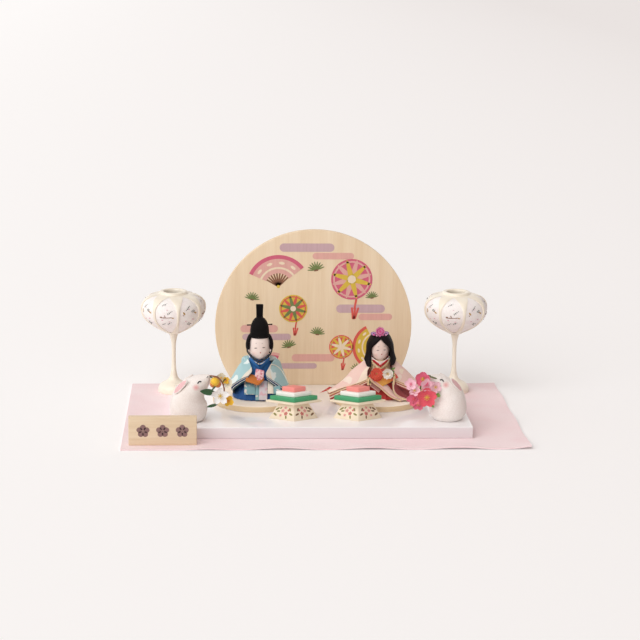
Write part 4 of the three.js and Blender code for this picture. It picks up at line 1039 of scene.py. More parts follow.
def buildEmperorHands():  # the folded cuffs that meet over the hands, and the baton that stands in them
    e = emperor
    orange = silk("orangeCuffSilk", e["cuff"], shade=e["cuffShade"], spacing=0.7, sheen=0.35)
    bm = bmesh.new()
    bmesh.ops.create_cube(bm, size=1)
    corners = {(-1, 1): (-10.2, -15.5, 27.6), (1, 1): (4.4, -17.2, 23.4),
               (1, -1): (-1.4, -24, 19.8), (-1, -1): (-14.6, -23, 24.0)}
    for vert in bm.verts:
        x, y, z = corners[(1 if vert.co.x > 0 else -1, 1 if vert.co.y > 0 else -1)]
        vert.co = (x, y, z if vert.co.z > 0 else z - 2.6)
    bmesh.ops.subdivide_edges(bm, edges=bm.edges[:], cuts=5, use_grid_fill=True)
    for vert in bm.verts:
        vert.co.z -= 0.15 * math.sin(vert.co.x * 0.45) ** 2
    sharpEdges = [edge for edge in bm.edges if edge.calc_face_angle(0) > 0.8]
    bevelEdges(bm, sharpEdges, 0.2, 2)
    strap(bm, [(3.8, -17.6, 23.6), (2.2, -20.4, 22.0), (-1.0, -23.7, 19.4)], 1.5, 1.2, 0)
    dollPiece(e, "emperorCuffs", bm, [orange], ["emperor_cuffs"])

    pink = silk("pinkFiguredPaper", e["baton"], [(2.2, 0.55, e["batonFigure"])], spacing=0.5, sheen=0.0,
                shift=0.01)
    bm = bmesh.new()
    bmesh.ops.create_cube(bm, size=1)
    corners = {(-1, 1): (-3.8, 34.0), (1, 1): (4.6, 31.8), (1, -1): (3.6, 23.6), (-1, -1): (-5.2, 26.0)}
    for vert in bm.verts:
        x, z = corners[(1 if vert.co.x > 0 else -1, 1 if vert.co.z > 0 else -1)]
        vert.co = (x, -20.5 + 0.55 * (1 if vert.co.y > 0 else -1), z)
    upright = [edge for edge in bm.edges if abs(edge.verts[0].co.y - edge.verts[1].co.y) > 1]
    bevelEdges(bm, upright, 0.8, 4)
    bevelEdges(bm, bm.edges[:], 0.15, 2)
    addLoft(bm, [[(x, -20.5 + y, z) for x, z in ((-2.6, 21.6), (1.6, 21.4), (3.0, 24.4), (-3.6, 26.4))]
                 for y in (-0.4, 0.4)])
    dollPiece(e, "emperorBaton", bm, [pink], ["emperor_baton"], body="emperor_baton")


def buildEmperorHead(hair):
    e = emperor
    marks = [  # painted features: eyes shut in a smile, smudged brows, small lips, blush
        (-5.6, 47.6, 3.2, 2.4, 0, e["blush"], 0.9, 0.45), (6.6, 47.8, 3.2, 2.4, 0, e["blush"], 0.9, 0.45),
        (-4.1, 53.6, 1.9, 0.95, 8, "#e2cdc2", 0.6, 0.7), (4.1, 54.2, 1.9, 0.95, -4, "#e2cdc2", 0.6, 0.7),
        (-4.1, 53.2, 1.7, 0.55, 8, e["lash"], 0.4, 0.95), (4.1, 53.8, 1.75, 0.55, -4, e["lash"], 0.4, 1.0),
        (-3.7, 58.3, 1.2, 0.7, 12, e["brow"], 0.9, 0.7), (2.6, 58.3, 1.2, 0.7, -12, e["brow"], 0.9, 0.7),
        (0.8, 48.7, 0.95, 0.65, 0, e["lip"], 0.5, 1.0), (0.8, 48.2, 0.6, 0.4, 0, "#cf5a4c", 0.6, 0.8),
    ]
    resin = faceMaterial("lacqueredResinFace", e["face"], e["place"], marks)
    bm = bmesh.new()
    addLoft(bm, headRings(e["head"]))
    for side, (x, z) in ((-1, (-10.9, 49.0)), (1, (11.0, 49.8))):
        for k, size in ((0, 1.0), (1, 0.62)):  # an ear with its inner fold
            place = (x + side * 0.2 * k, -5.2 - 0.7 * k, z + 0.2 * k)
            made = bmesh.ops.create_uvsphere(bm, u_segments=20, v_segments=12, radius=1)["verts"]
            bmesh.ops.transform(bm, matrix=Matrix.Translation(place) @ Matrix.Rotation(side * 0.35, 4, "Z")
                                @ Matrix.Diagonal((0.8 * size, 1.5 * size, 2.5 * size, 1)), verts=made)
    dollPiece(e, "emperorHead", bm, [resin], ["emperor_head"], 60, "emperor_head")

    bm = bmesh.new()  # hair drawn up under the hat, open at the face
    strands = []
    for degrees, share in ((-29, 0.96), (-22, 0.99), (-8, 1), (30, 1), (60, 1), (90, 1), (120, 1), (150, 1),
                           (188, 1),
                           (202, 0.99), (209, 0.96)):
        a = math.radians(degrees)
        c, s = share * math.cos(a), share * math.sin(a)
        if s < 0:
            s *= 0.86
        low = 44.2 if s > 0 else 51.2
        strands.append([(blend(12.2, 12.7, low < 50) * c, -1 + 12.4 * s, low), (12.7 * c, -1 + 12.6 * s, 52.6),
                        (12.75 * c, -1 + 12.8 * s, 56), (12.1 * c, -1 + 12.1 * s, 60),
                        (10.2 * c, -1 + 10.4 * s, 64),
                        (7.4 * c, -1 + 7.6 * s, 66.4)])
    addStrands(bm, strands, 150, 24, -1.5, 0.05)
    cap = [(62.9, 9.2, 9.8, 10.6), (63.5, 10.3, 10.9, 10.6), (65, 9.6, 9.9, 9.6), (66.6, 6.8, 6.8, 6.6),
           (67.4, 2.4, 2.4, 2.4)]
    addRings(bm, cap, -1, 96, 2.1)
    dollPiece(e, "emperorHair", bm, [hair], ["emperor_hair"], body="emperor_head")

    gauze = gauzeMaterial()
    bm = bmesh.new()  # hat of stiffened gauze: a band, a seam and a rounded crown
    levels = [(62.8, 8.6, 8.4, 8.0), (63.2, 9.4, 9.4, 8.8), (65.5, 9.75, 9.7, 9.2), (69.6, 9.7, 9.6, 9.1),
              (70.1, 9.5, 9.4, 8.9), (70.5, 9.65, 9.5, 9.0), (73.5, 9.3, 9.0, 8.7), (76.5, 8.5, 8.2, 8.1),
              (79.5, 7.2, 7, 7.2), (82, 5.2, 5.1, 6.2), (83.2, 3.2, 3.2, 5.4), (83.6, 0.6, 0.6, 2)]
    addRings(bm, levels, -1, 96, 2.25)
    tail = [(79.8, 3.4), (83, 3.45), (88, 3.5), (93, 3.7), (95.6, 3.8), (96, 3.5)]
    addRings(bm, [(z, half, 1.3, 1.3) for z, half in tail], 3.6, 48, 5)
    brow = [(-9.7, -5.8, 65.2), (-6.8, -9.3, 65), (0, -10.9, 64.9), (6.8, -9.3, 65), (9.7, -5.8, 65.2)]
    strap(bm, brow, 1.2, 0.5, 0)
    dollPiece(e, "emperorHat", bm, [gauze], ["emperor_crown"], 50, "emperor_head")

    bm = bmesh.new()
    pin = [(-13.1, -1, 75.2), (-4, -1, 75.5), (4, -1, 75.7), (13.1, -1, 76.0)]
    addTube(bm, spline(pin, 20), 0.55, 10, 0, 1.25)
    dollPiece(e, "emperorHatPin", bm, [gauze], ["emperor_crown_pin"], body="emperor_head")

    bm = bmesh.new()  # chin cord, knotted in the middle, with two short ends
    half = [(12.4, -4.4, 50.8), (11.8, -7.2, 48), (9.6, -10.4, 45.1), (6, -12.6, 42.6), (3.1, -13.5, 40.9),
            (0.1, -13.7, 40)]
    addTube(bm, spline([(-x, y, z) for x, y, z in half] + half[-2::-1], 60), 0.75)
    knot = (0.1, -13.9, 40)
    for end in ([(-1.7, -14.2, 39), (-3.2, -14.4, 38)], [(1.8, -14.2, 39.6), (3, -14.4, 39.3)]):
        addTube(bm, spline([knot, *end], 10), 0.5, 8)
    addBead(bm, knot, 1.1, 0, 0.7)
    dollPiece(e, "emperorChinCord", bm, [cordMaterial()], ["emperor_chin_cord"],
              body="emperor_head")


def gauzeMaterial():
    # open silk gauze stiffened with black lacquer: a fine crossed grid, painted lighter where the threads cross
    # as small dull painted glints
    material, tree, shader = newMaterial("lacqueredGauze", 0.6, Specular_IOR_Level=0.08)
    grid = weave(tree, onPiece(tree), 0.75)
    # lighter at the crossings: painted glints
    tone = addNode(tree, "ShaderNodeValToRGB", {"Fac": grid}, [(0.1, "#080607"), (0.8, "#1c1718")])
    dress(tree, shader, tone, grid, 0.14)
    return material


def cordMaterial():
    # braided black silk: short slanting strands that show as ridges across the cord, painted lighter on the
    # ridges and darker in the grooves as painted light and shade
    material, tree, shader = newMaterial("braidedBlackSilk", 0.6, Sheen_Weight=0.02)
    place = onPiece(tree, (0.6, 0.4, 0.8))
    braid = addNode(tree, "ShaderNodeTexWave", {"Vector": place, "Scale": bandScale / (0.5 * mm),
                                                "Distortion": 0.3})
    # colour follows the ridges: painted light and shade
    tone = addNode(tree, "ShaderNodeValToRGB", {"Fac": braid}, [(0.2, "#080607"), (0.8, "#1c1718")])
    dress(tree, shader, tone, braid, 0.1)
    return material


# Empress

empress = {
    "body": "empress", "place": (60.7, 5.0, 19.7),
    "robe": "#f3d3c8", "robeShade": "#eec5b8", "robeFigure": "#f6e2d3", "patch": "#f5e0cb", "rose": "#c98f86",
    "red": "#bb3430", "maroon": "#94403f", "gold": "#f4d4a4", "goldDeep": "#e0b06a", "pink": "#e6b1a8",
    "hakama": "#c43a34", "collarRed": "#c8222c", "white": "#fbefe6", "chest": "#ffe2b0",
           "chestFigure": "#fff0d8",
    "fan": "#e08b35", "fanRed": "#cf4a3e", "fanGold": "#e0a84a", "flowerRed": "#f4694e",
           "flowerDeep": "#e24c34",
    "flowerWhite": "#fffaf0", "stamen": "#e0b04a", "leaf": "#6f8a45", "magenta": "#f064ae", "orchid": "#f8aed4",
    "purple": "#6c3f86", "lilac": "#c79ad0", "olive": "#5a5a32",
    "fold": {"inward": 0.5, "drop": (1.0, 1.35), "longer": -0.3, "depth": 0.7, "count": 2.2, "thickness": 0.65},
    "hems": [(0, 0), (2, 0.7), (5, 1.2), (1, 2.2), (2, 3.0), (5, 4.5), (2, 5.2), (4, 6.2)],
    "robeFold": {"pleat": 0.022, "pleats": 13, "inward": 0.8, "drop": 0.9, "thickness": 0.6},
    "sleeves": {
        "left": [[(-14.0, -21.6, 23.4), (-14.2, -19.4, 30.6), (-10.6, -11, 35.6), (-13.0, -3, 41.0),
                  (-14, 6, 36),
                  (-15, 9, 27)],
                 [(-24.6, -20, 18.2), (-24.4, -14, 26.6), (-25.0, -5.6, 32.2), (-25.8, 4, 26), (-26, 9, 17)],
                 [(-38.2, -17.6, 13.4), (-38.8, -13, 16.2), (-39.3, -7.6, 17.8), (-39.3, 1, 14.6),
                  (-39, 7, 9.2)],
                 [(-53.0, -15, 6.8), (-53.6, -12, 7.4), (-53.8, -8.6, 7.6), (-53.6, -2, 6.8), (-52.8, 4, 5.6)]],
        "right": [[(14.2, -21.4, 22.6), (13.6, -17, 30), (12.6, -9, 37.2), (13.6, -2, 41.2), (14, 6, 36),
                   (15, 9, 27)],
                  [(25.0, -19.8, 17.8), (25, -13.6, 26), (25.6, -5.4, 30.6), (26, 4, 25), (26.2, 9, 17)],
                  [(38.4, -18, 13.6), (39, -12.6, 16.0), (39.4, -7, 17.8), (39.4, 1, 14.6), (39, 7, 9.6)],
                  [(53.2, -15, 8.4), (53.8, -12, 9.2), (54, -8, 9.6), (53.8, -2, 8), (52.8, 4, 6.4)]],
    },
    "back": [(1.0, 28.5, 26.2, 12.4, 3), (9, 25, 22, 11, 3), (20, 20, 17, 9.6, 3), (31, 16.8, 12.6, 8.6, 3),
             (37.5, 14.6, 10.2, 8, 3), (40, 11.8, 7.4, 6, 3), (40.8, 8.6, 5.2, 4.6, 2.6)],
    "head": {"levels": [(39.3, 0.6, 5.6, 1.5), (39.7, 3.0, 7.4, 4), (41.3, 6.5, 9.5, 6.4), (44.6, 8.8, 10.1, 8),
                        (48.4, 9.8, 10, 8.8), (52.6, 9.8, 10, 9.1), (57, 9.6, 9.8, 9.2), (61, 8.0, 8.7, 8),
                        (63.2, 4.8, 6, 5.4), (64.1, 0.8, 1.4, 1.4)],
             "nose": (1.0, 48.9, 0.85, 1.4, 0.7)},
    "face": "#e6cfc4", "blush": "#e0a898", "lash": "#4e3a36", "lip": "#a5454a", "brow": "#b5a09a",
}


def fanMaterial(origin):
    # thin cypress blades laid over each other, stained from gold at the rivet to red at the rim
    material, tree, shader = newMaterial("stainedCypressBlades", 0.5, Sheen_Weight=0.1)
    coords = addNode(tree, "ShaderNodeTexCoord").outputs["Object"]
    rivet = tuple(mm * (a + b) for a, b in zip(origin, (1.9, -23.6, 16.6)))
    offset = addNode(tree, "ShaderNodeVectorMath", {"operation": "SUBTRACT", 0: coords, 1: rivet})
    reach = addNode(tree, "ShaderNodeVectorMath", {"operation": "LENGTH", 0: offset}).outputs["Value"]
    share = addNode(tree, "ShaderNodeMapRange", {"Value": reach, "From Max": 18 * mm})
    tone = addNode(tree, "ShaderNodeValToRGB", {"Fac": share},
                   [(0.1, empress["fanGold"]), (0.5, empress["fan"]), (0.72, empress["fanRed"])])
    tone, grain = stain(tree, tone, onPiece(tree), 1.2, [(0.3, "#d9c4b0"), (0.7, "#ffffff")], 0.3, 4)
    dress(tree, shader, tone, grain, 0.05)
    return material


def metalThread(name, code):
    # couched metal-wrapped thread: a silk core with a flat gilt ribbon wound round it, the grooves between the
    # windings painted darker as painted shade
    material, tree, shader = newMaterial(name, 0.45, 0.1)
    place = onPiece(tree, (0.5, 0.7, 0.3))
    winding = addNode(tree, "ShaderNodeTexWave", {"Vector": place, "Scale": bandScale / (0.45 * mm),
                                                  "Distortion": 0.2})
    # darker in the grooves between windings: painted shade
    tone = addNode(tree, "ShaderNodeMixRGB", {"blend_type": "MULTIPLY", "Fac": 0.25, "Color1": code,
                                              "Color2": winding})
    dress(tree, shader, tone, winding, 0.06)
    return material


def buildEmpress():
    e = empress
    rose = silk("roseFiguredSilk", e["robe"], [(16, 0.6, e["robeFigure"]), (9, 0.66, e["patch"])],
                e["robeShade"])
    gold = silk("goldLiningSilk", e["gold"], shade="#edd6a6", spacing=0.6, sheen=0.3)
    red = silk("redLiningSilk", e["red"], spacing=0.6)
    maroon = silk("maroonLiningSilk", e["maroon"], shade="#8e3a3b", spacing=0.7)
    pink = silk("pinkLiningSilk", e["pink"], spacing=0.6)
    mauve = silk("mauveSilk", e["rose"], shade="#b97e84", spacing=0.7)
    thread = metalThread("giltThread", "#f8ddb2")

    bm = bmesh.new()
    levels = [(0.2, 25, 19.6, 17.6), (1.2, 25.8, 20.4, 18.4), (4, 25, 19.6, 18), (8, 21.5, 16.6, 15.5),
              (12, 17, 12.4, 12), (14.9, 14, 10, 10)]
    addRings(bm, levels, 0.3, 144, 2.6, 0.02, 28)
    dollPiece(e, "empressHakama", bm, [silk("redTwillSilk", e["hakama"], shade="#b2322d", spacing=0.7)],
                ["empress_hakama"])

    figures = [(3, 0.56, e["chestFigure"]), (2, 0.64, e["goldDeep"])]
    chest = silk("creamGoldBrocade", e["chest"], figures, spacing=0.6)
    bm = bmesh.new()
    levels = [(15.3, 13.6, 10, 7.4), (22, 13, 10.6, 7.4), (30, 11.8, 10.4, 7.2), (37, 10.4, 9.4, 6.8),
              (39.7, 8, 7.4, 6)]
    addRings(bm, levels, -0.4, 96, 2.3)
    dollPiece(e, "empressChest", bm, [chest], ["empress_under_robe"])

    bm = bmesh.new()
    addRobe(bm, e["back"], [0, 1, 2, 3], e["robeFold"])
    levels = [(37.4, 13.6, 6.8, 8.6), (39.6, 12.2, 6, 7.2), (40.5, 9.6, 4.8, 5.4), (40.8, 6, 3.4, 4)]
    addRings(bm, levels, 2.8, 72, 2.3)
    dollPiece(e, "empressRobe", bm, [rose, gold, red, pink], ["empress_outer_robe"])

    for side, stations in e["sleeves"].items():
        bm = bmesh.new()
        way = -1 if side == "left" else 1
        rows = addSleeve(bm, stations, e["hems"], e["fold"])
        # the inmost robe's sleeve hangs to the dais and lines what shows under the hems
        lining = []
        for i, row in enumerate(rows):
            t = i / (len(rows) - 1)
            low = blend(3.5, 1.2, t)
            lining.append([row[3] + Vector((-way * 1.2, 2.2, -1.5)), row[14] - Vector((0, 0, 3)),
                           row[28] + Vector((0, -2.4, 0)),
                           Vector((row[32].x - way * 1.5, row[32].y - 2.5, low)),
                           Vector((row[0].x - way * 1.5, row[0].y + blend(5.0, 2.2, t), low))])
        addLoft(bm, lining, ink=4)
        if side == "left":
            addTurnBack(bm, rows, 15, 8.5, 5)
        addTube(bm, [row[0] + Vector((0, -0.25, 0.1)) for row in rows], 0.38, 8, 6)
        dollPiece(e, f"empressSleeve.{side}", bm,
                    [rose, gold, red, pink, maroon, silk(f"creamSilk.{side}", e["patch"], spacing=0.6), thread],
                    [f"empress_sleeve_{side}"])

    redSilk = silk("redCollarSilk", e["collarRed"], spacing=0.6)
    whiteSilk = silk("whiteCollarSilk", e["white"], spacing=0.6)
    goldSilk = silk("creamCollarBrocade", e["chest"], [(2.4, 0.58, e["chestFigure"])], spacing=0.6, shift=0.03)
    bm = bmesh.new()  # crossed collars, the white one inmost and highest
    for side in (1, -1):
        for half, thickness, ink, drop, out in ((1.6, 1.0, 1, 1.9, 0), (1.5, 1.1, 0, 0.6, -0.5),
                                                (2.1, 1.1, 2, -3.2, -0.8)):
            reach = 1 + 0.05 * abs(drop)
            strap(bm, [(side * 6.8 * reach, 2, 42), (side * 8.6 * reach, -5, 41.4 + drop * 0.35),
                       (side * 6.4 * reach, -9.4 + out, 39.0 + drop * 0.75),
                       (side * 3.0, -11.4 + out, 36.2 + drop),
                       (-side * 0.8, -12.4 + out - 0.2 * side, 33.6 + drop)], half, thickness, ink)
    throat = [[(x, -9.0 - 1.2 * (1 - abs(x) / 6), z) for x in (-5.6, -2, 2, 5.6)] for z in (34.5, 36, 37.6, 39)]
    addPatch(bm, throat, 0.8, 1)
    dollPiece(e, "empressCollar", bm, [redSilk, whiteSilk, goldSilk], ["empress_collar"])

    # the open fronts of the robe, sweeping to the side; each is edged with gilt thread
    fronts = {
        "left": {"edge": [(-12.4, -22.5, 27.6), (-9.6, -23.4, 21.6), (-0.4, -24.2, 14.4), (9.6, -25.4, 5.8),
                          (20.6, -26.4, 1.2)],
                 "back": [(-3.6, -17.6, 22.4), (1.4, -19.2, 20.6), (8, -20.6, 15.6), (14.4, -21.8, 8.2),
                          (24.6, -23.4, 1.9)],
                 "ink": 0},
        "right": {"edge": [(12.6, -23.0, 27.0), (12.8, -23.2, 20.6), (13.0, -23.8, 11.6), (17.8, -24.6, 5.4),
                           (28.4, -24.8, 1.3)],
                  "back": [(13.8, -19.4, 24.5), (16.2, -19.0, 19.6), (19.2, -18.6, 13.0), (24.2, -18.4, 8.0),
                           (33.6, -19.4, 2.0)],
                  "ink": 1},
    }
    for side, front in fronts.items():
        bm = bmesh.new()
        middle = [tuple((a + b) / 2 + (0, -0.9, 0.4)[k] for k, (a, b) in enumerate(zip(p, q)))
                  for p, q in zip(front["edge"], front["back"])]
        rows = skin([front["edge"], middle, front["back"]], 14, 40)
        addPatch(bm, rows, 0.8, front["ink"])
        addTube(bm, [p + Vector((0, -0.35, 0)) for p in rows[0]], 0.62, 10, 2)
        addTube(bm, [p + Vector((0.5, -0.1, 0.95)) for p in rows[0]], 0.4, 8, 3)
        if side == "left":  # mauve and pink linings that show to the side of the front
            for shift, ink in ((1, 4), (2, 3)):
                lower = [(x - 0.8 * shift, y + 1.1 * shift, z - 2.6 * shift)
                         for x, y, z in ((-9.6, -23.4, 21.6), (-5.2, -23.8, 18.2), (-0.4, -24.2, 14.4))]
                upper = [(x + 3, y + 4.2, z + 2) for x, y, z in lower]
                addPatch(bm, skin([lower, upper], 5, 16), 0.6, ink)
        dollPiece(e, f"empressFront.{side}", bm, [rose, maroon, thread, pink, mauve], [f"empress_lapel_{side}"])

    bm = bmesh.new()  # patterned band with gilt edges beside the hand, and its olive pattern
    band = [(-12.2, -22.9, 26.6), (-12.6, -23.1, 22), (-12, -23, 17.4)]
    strap(bm, band, 2.0, 0.9, 0, 16)
    addTube(bm, spline([(x - 1.9, y - 0.3, z) for x, y, z in band], 16), 0.42, 8, 1)
    band = [(13.0, -23.3, 29.6), (13.6, -23.5, 25), (12.7, -23.3, 17.2)]
    strap(bm, band, 1.1, 0.9, 0, 16)
    olive = silk("olivePatternedBand", e["gold"], [(2, 0.52, e["olive"])], spacing=0.5, shift=0.11)
    dollPiece(e, "empressBands", bm, [olive, thread], ())


def buildEmpressFan():  # an open fan of thin blades with a red and a white flower tied on it
    e = empress
    blades = 11
    bm = bmesh.new()
    for k in range(blades):
        a = math.radians(blend(36, 140, k / (blades - 1)))
        place = Matrix.Translation((1.9, -23.5 - 0.03 * k, 16.6)) @ Matrix.Rotation(-a, 4, "Y")
        made = bmesh.ops.create_grid(bm, x_segments=4, y_segments=2, size=1,
                                     matrix=Matrix.Rotation(math.pi / 2, 4, "X"))["verts"]
        for vert in made:
            t = (vert.co.x + 1) / 2
            vert.co = (t * 18, 0.1 * abs(vert.co.z), vert.co.z * (0.5 + 1.7 * t))
        thicken(bm, made, 0.4, place)
    addBead(bm, (1.9, -24.0, 16.9), 0.7, 0, 0.5)
    dollPiece(e, "empressFan", bm, [fanMaterial(e["place"])], ["empress_fan"],
              body="empress_fan")

    bm = bmesh.new()
    spot = facing((-5.0, -24.6, 30.4))
    addBlossom(bm, spot, 6.5, 7, (0, 2), 0.2, 0.46, 10, 3, 0, 0.1)
    for k in range(5):
        a = math.radians(200 + 35 * k)
        addPetal(bm, facing((-4.6, -24.0, 27.6)) @ Matrix.Rotation(a, 4, "Z"), 6.2, 0.42, 0.16, 0.1, 1)
    materials = [crepe("redCrepePetals", e["flowerRed"], "#e3c4bf"),
                 crepe("deepRedCrepePetals", e["flowerDeep"]),
                 crepe("goldStamens", e["stamen"])]
    dollPiece(e, "empressRedFlower", bm, materials, ["empress_red_flower"], 60, "empress_fan")

    bm = bmesh.new()
    spot = facing((6.6, -24.8, 30.3), 4, -8)
    addBlossom(bm, spot, 5.8, 5, (0, 1), 0.34, 0.56, 30, 2, 6, 0.12)
    for x, z, turn in ((10.6, 28.4, 62), (11.6, 25.4, 100), (9.6, 33.6, 30)):
        leafPlace = facing((x, -24.3, z)) @ Matrix.Rotation(math.radians(turn), 4, "Z")
        addLeaf(bm, leafPlace, 5.2, 2.4, 0.05, 2)
    materials = [crepe("whiteCrepePetals", e["flowerWhite"]), crepe("goldStamenTips", e["stamen"]),
                 crepe("greenCrepeLeaf", e["leaf"])]
    dollPiece(e, "empressWhiteFlower", bm, materials, ["empress_white_flower"], 60,
              "empress_fan")


def buildEmpressHead(hair):
    e = empress
    marks = [
        (-4.8, 45.8, 2.9, 2.3, 0, e["blush"], 0.9, 0.5), (6.2, 45.8, 2.9, 2.3, 0, e["blush"], 0.9, 0.5),
        (-2.9, 51.1, 1.8, 0.9, 2, "#dfc7bd", 0.6, 0.6), (4.3, 51.4, 1.8, 0.9, 0, "#dfc7bd", 0.6, 0.6),
        (-2.9, 50.8, 1.65, 0.5, 3, e["lash"], 0.4, 0.95), (4.3, 51.1, 1.6, 0.5, -3, e["lash"], 0.4, 0.95),
        (-2.3, 54.7, 1.5, 0.75, 14, e["brow"], 0.9, 0.85), (4.1, 54.9, 1.5, 0.75, -14, e["brow"], 0.9, 0.85),
        (1.2, 46.8, 0.9, 0.6, 0, e["lip"], 0.5, 1.0), (1.2, 46.3, 0.55, 0.4, 0, "#c4595a", 0.6, 0.7),
    ]
    resin = faceMaterial("paleLacqueredResinFace", e["face"], e["place"], marks)
    bm = bmesh.new()
    addLoft(bm, headRings(e["head"]))
    dollPiece(e, "empressHead", bm, [resin], ["empress_head"], 60, "empress_head")

    bm = bmesh.new()  # long straight hair, parted in the middle, with the side locks cut level
    half = [
        [(0.15, -10.0, 61.8), (4.6, -10.4, 57.6), (9.8, -9.0, 52.0), (10.5, -9.6, 45), (10.3, -14.6, 34.6)],
        [(0.1, -9.4, 63.4), (6.0, -9.8, 60.2), (10.9, -8.4, 53.6), (11.8, -9.0, 45), (12.3, -14.2, 34.4)],
        [(0, -7.6, 64.8), (6.8, -8.2, 62.4), (12.2, -6.2, 55), (13.2, -7.4, 45.6), (14.2, -12.6, 35.2)],
        [(0, -5.6, 65.8), (7.4, -5.8, 63.6), (12.8, -3.8, 56), (14.2, -4.6, 47), (16.5, -6.4, 40.4)],
        [(0, -1.0, 66.8), (8.2, -0.4, 65.0), (13.3, 1.0, 56), (14.2, 0.8, 48), (15.8, -1.4, 39.2)],
        [(0, 4.6, 66.6), (8.0, 6.0, 64.2), (12.8, 6.8, 55), (13.0, 7.6, 46), (13.4, 7.4, 35.5)],
        [(0, 9.4, 64.4), (6.4, 10.2, 61.4), (9.8, 11.0, 52), (10.4, 11.8, 42), (10.4, 12.2, 31)],
        [(0, 12.0, 60.2), (3.2, 12.6, 57.2), (5.4, 13.0, 50), (5.6, 13.6, 40), (5.4, 13.8, 29.0)],
        [(0, 12.7, 58.2), (0.6, 13.0, 55.2), (0.4, 13.4, 49), (0.2, 13.9, 40), (0.0, 14.0, 28.8)],
    ]
    for side in (1, -1):
        share, rise = (1, 0) if side < 0 else (0.94, 1.2)  # a little fuller and longer on the left
        strands = [[(side * x * share, y, z + rise * (z < 36 and y < 0)) for x, y, z in strand]
                   for strand in half]
        addStrands(bm, strands, 90, 26, -1.4 * side, 0.05)
    scalp = [(47, 9.6, 4, 9.6), (53, 10.6, 5, 11), (58, 10.4, 6.4, 11), (61.6, 8.4, 6.8, 9.6),
             (64.6, 5.6, 4.6, 6.6),
             (65.8, 1.2, 1.2, 2)]
    addRings(bm, scalp, 0.6, 72, 2.1)
    dollPiece(e, "empressHair", bm, [hair], ["empress_hair"], body="empress_head")

    bm = bmesh.new()  # rosette of pinched crepe petals, with two cord loops
    spot = facing((-0.6, -6.2, 69.6), -14)
    for ring, (count, radius, ink) in enumerate(((7, 5.0, 1), (6, 4.1, 0), (5, 3.1, 1), (4, 2.0, 0))):
        for k in range(count):
            a = fullTurn * (k + 0.5 * ring) / count
            lift = Matrix.Translation((0, 0, 0.3 + 0.75 * ring))
            lean = Matrix.Rotation(a, 4, "Z") @ Matrix.Rotation(-0.22 * ring, 4, "Y")
            addPetal(bm, spot @ lift @ lean, radius, 0.44, 0.16, 0.25, ink, 0.3)
    addBead(bm, spot @ Vector((0, 0, 3.0)), 0.7, 0)
    for side, x in ((-1, -6.9), (1, 5.4)):
        for k in range(2):
            share = 1 - 0.25 * k
            loop = [(x + side * 0.3 + 2.4 * math.cos(a) * share, -5.6 - 0.7 * k,
                     67.6 + 1.3 * math.sin(a) * share + 0.2 * side)
                    for a in (fullTurn * n / 18 for n in range(18))]
            addTube(bm, [*loop, loop[0]], 0.62, 8, 2 + k)
    for k, (x, z) in enumerate(((-6.9, 66.4), (-4.0, 65.6), (2.8, 65.6), (5.4, 66.4), (-0.6, 65.2))):
        addBead(bm, (x, -7.9 + 0.1 * abs(x), z), 1.0, k % 2, 0.8)
    codes = {"magentaCrepe": e["magenta"], "orchidCrepe": e["orchid"], "purpleCord": e["purple"],
             "lilacCord": e["lilac"]}
    materials = [crepe(name, code, size=0.5) for name, code in codes.items()]
    dollPiece(e, "empressHairOrnament", bm, materials, ["empress_hair_ornament"], 60, "empress_head")


# Lanterns

lantern = {
    "resin": "#f7eedd", "paper": "#fbf6f3", "paperShade": "#f7efee", "speck": "#3c4a3f", "twig": "#7e4f33",
    "gilt": "#b58f4e", "blush": "#d8a3b0",
    "sprigs": [[(0.6, 9.2, 3, -1.5), (-4.6, 4.2, 2, 0.6), (-3.0, -10.2, 3, 0.7)],
               # x, z, pairs and rise of each row
               [(-3.4, 11.2, 3, 0.5), (3.0, 3.2, 3, 0.9), (-4.2, -9.4, 2, 0.8), (2.4, -8.2, 2, 0.9)],
               [(-4.6, 9.4, 3, 0.9), (2.4, -9.6, 3, 0.8), (-2.6, 1.4, 2, -1.4)]],
    "foot": [(0, 0), (0.98, 0), (1, 0.012), (1, 0.03), (0.98, 0.072), (0.92, 0.108), (0.76, 0.149),
             (0.55, 0.178),
             (0.4, 0.205), (0.29, 0.24), (0.21, 0.3), (0.155, 0.4), (0.13, 0.55), (0.13, 0.76), (0.16, 0.86),
             (0.21, 0.93),
             (0.27, 0.99), (0.26, 1), (0, 1)],
    "globe": [(0.2, 0), (0.33, 0.06), (0.52, 0.14), (0.77, 0.28), (0.945, 0.45), (1, 0.64), (0.95, 0.8),
              (0.76, 0.935), (0.43, 1)],
    "ribs": 8, "turns": {"left": 10, "right": 8.6}, "footHeight": 64.3, "globeRadius": 35.1, "start": 64.6,
    "rise": 44.0, "window": (0.06, 0.975, 0.92),  # where a window starts and ends, and its share of the width
    "socket": [(0, 64.6), (4.1, 64.6), (7.8, 66.8), (8.4, 67.6), (7.6, 68.3), (0, 68.0)],
    "topRing": [(10, 106.4), (14.6, 105.9), (15.4, 106.4), (15.75, 107.3), (15.7, 108.3), (15.1, 109.0),
                (14.9, 110.2), (13.9, 110.95), (12.2, 111.1), (10.6, 110.8), (9.95, 110.0), (9.9, 107.5),
                (10, 106.4)],
    "paperHeights": (66.4, 108.5), "paperInset": 1.9, "paperFace": 0.5, "printHeight": 90,
}


def satinResin(name, code):
    # cast resin sprayed in satin cream: smooth, a little translucent-looking, with a soft highlight
    material, tree, shader = newMaterial(name, 0.36, Coat_Weight=0.3, Coat_Roughness=0.2)
    place = onPiece(tree)
    tone = stain(tree, code, place, 14, [(0.3, "#efe6da"), (0.7, "#ffffff")], 0.35)[0]
    peel = addNode(tree, "ShaderNodeTexNoise", {"Vector": place, "Scale": 1 / (1.1 * mm), "Detail": 3.0})
    dress(tree, shader, tone, peel, 0.02, 0.4)
    return material


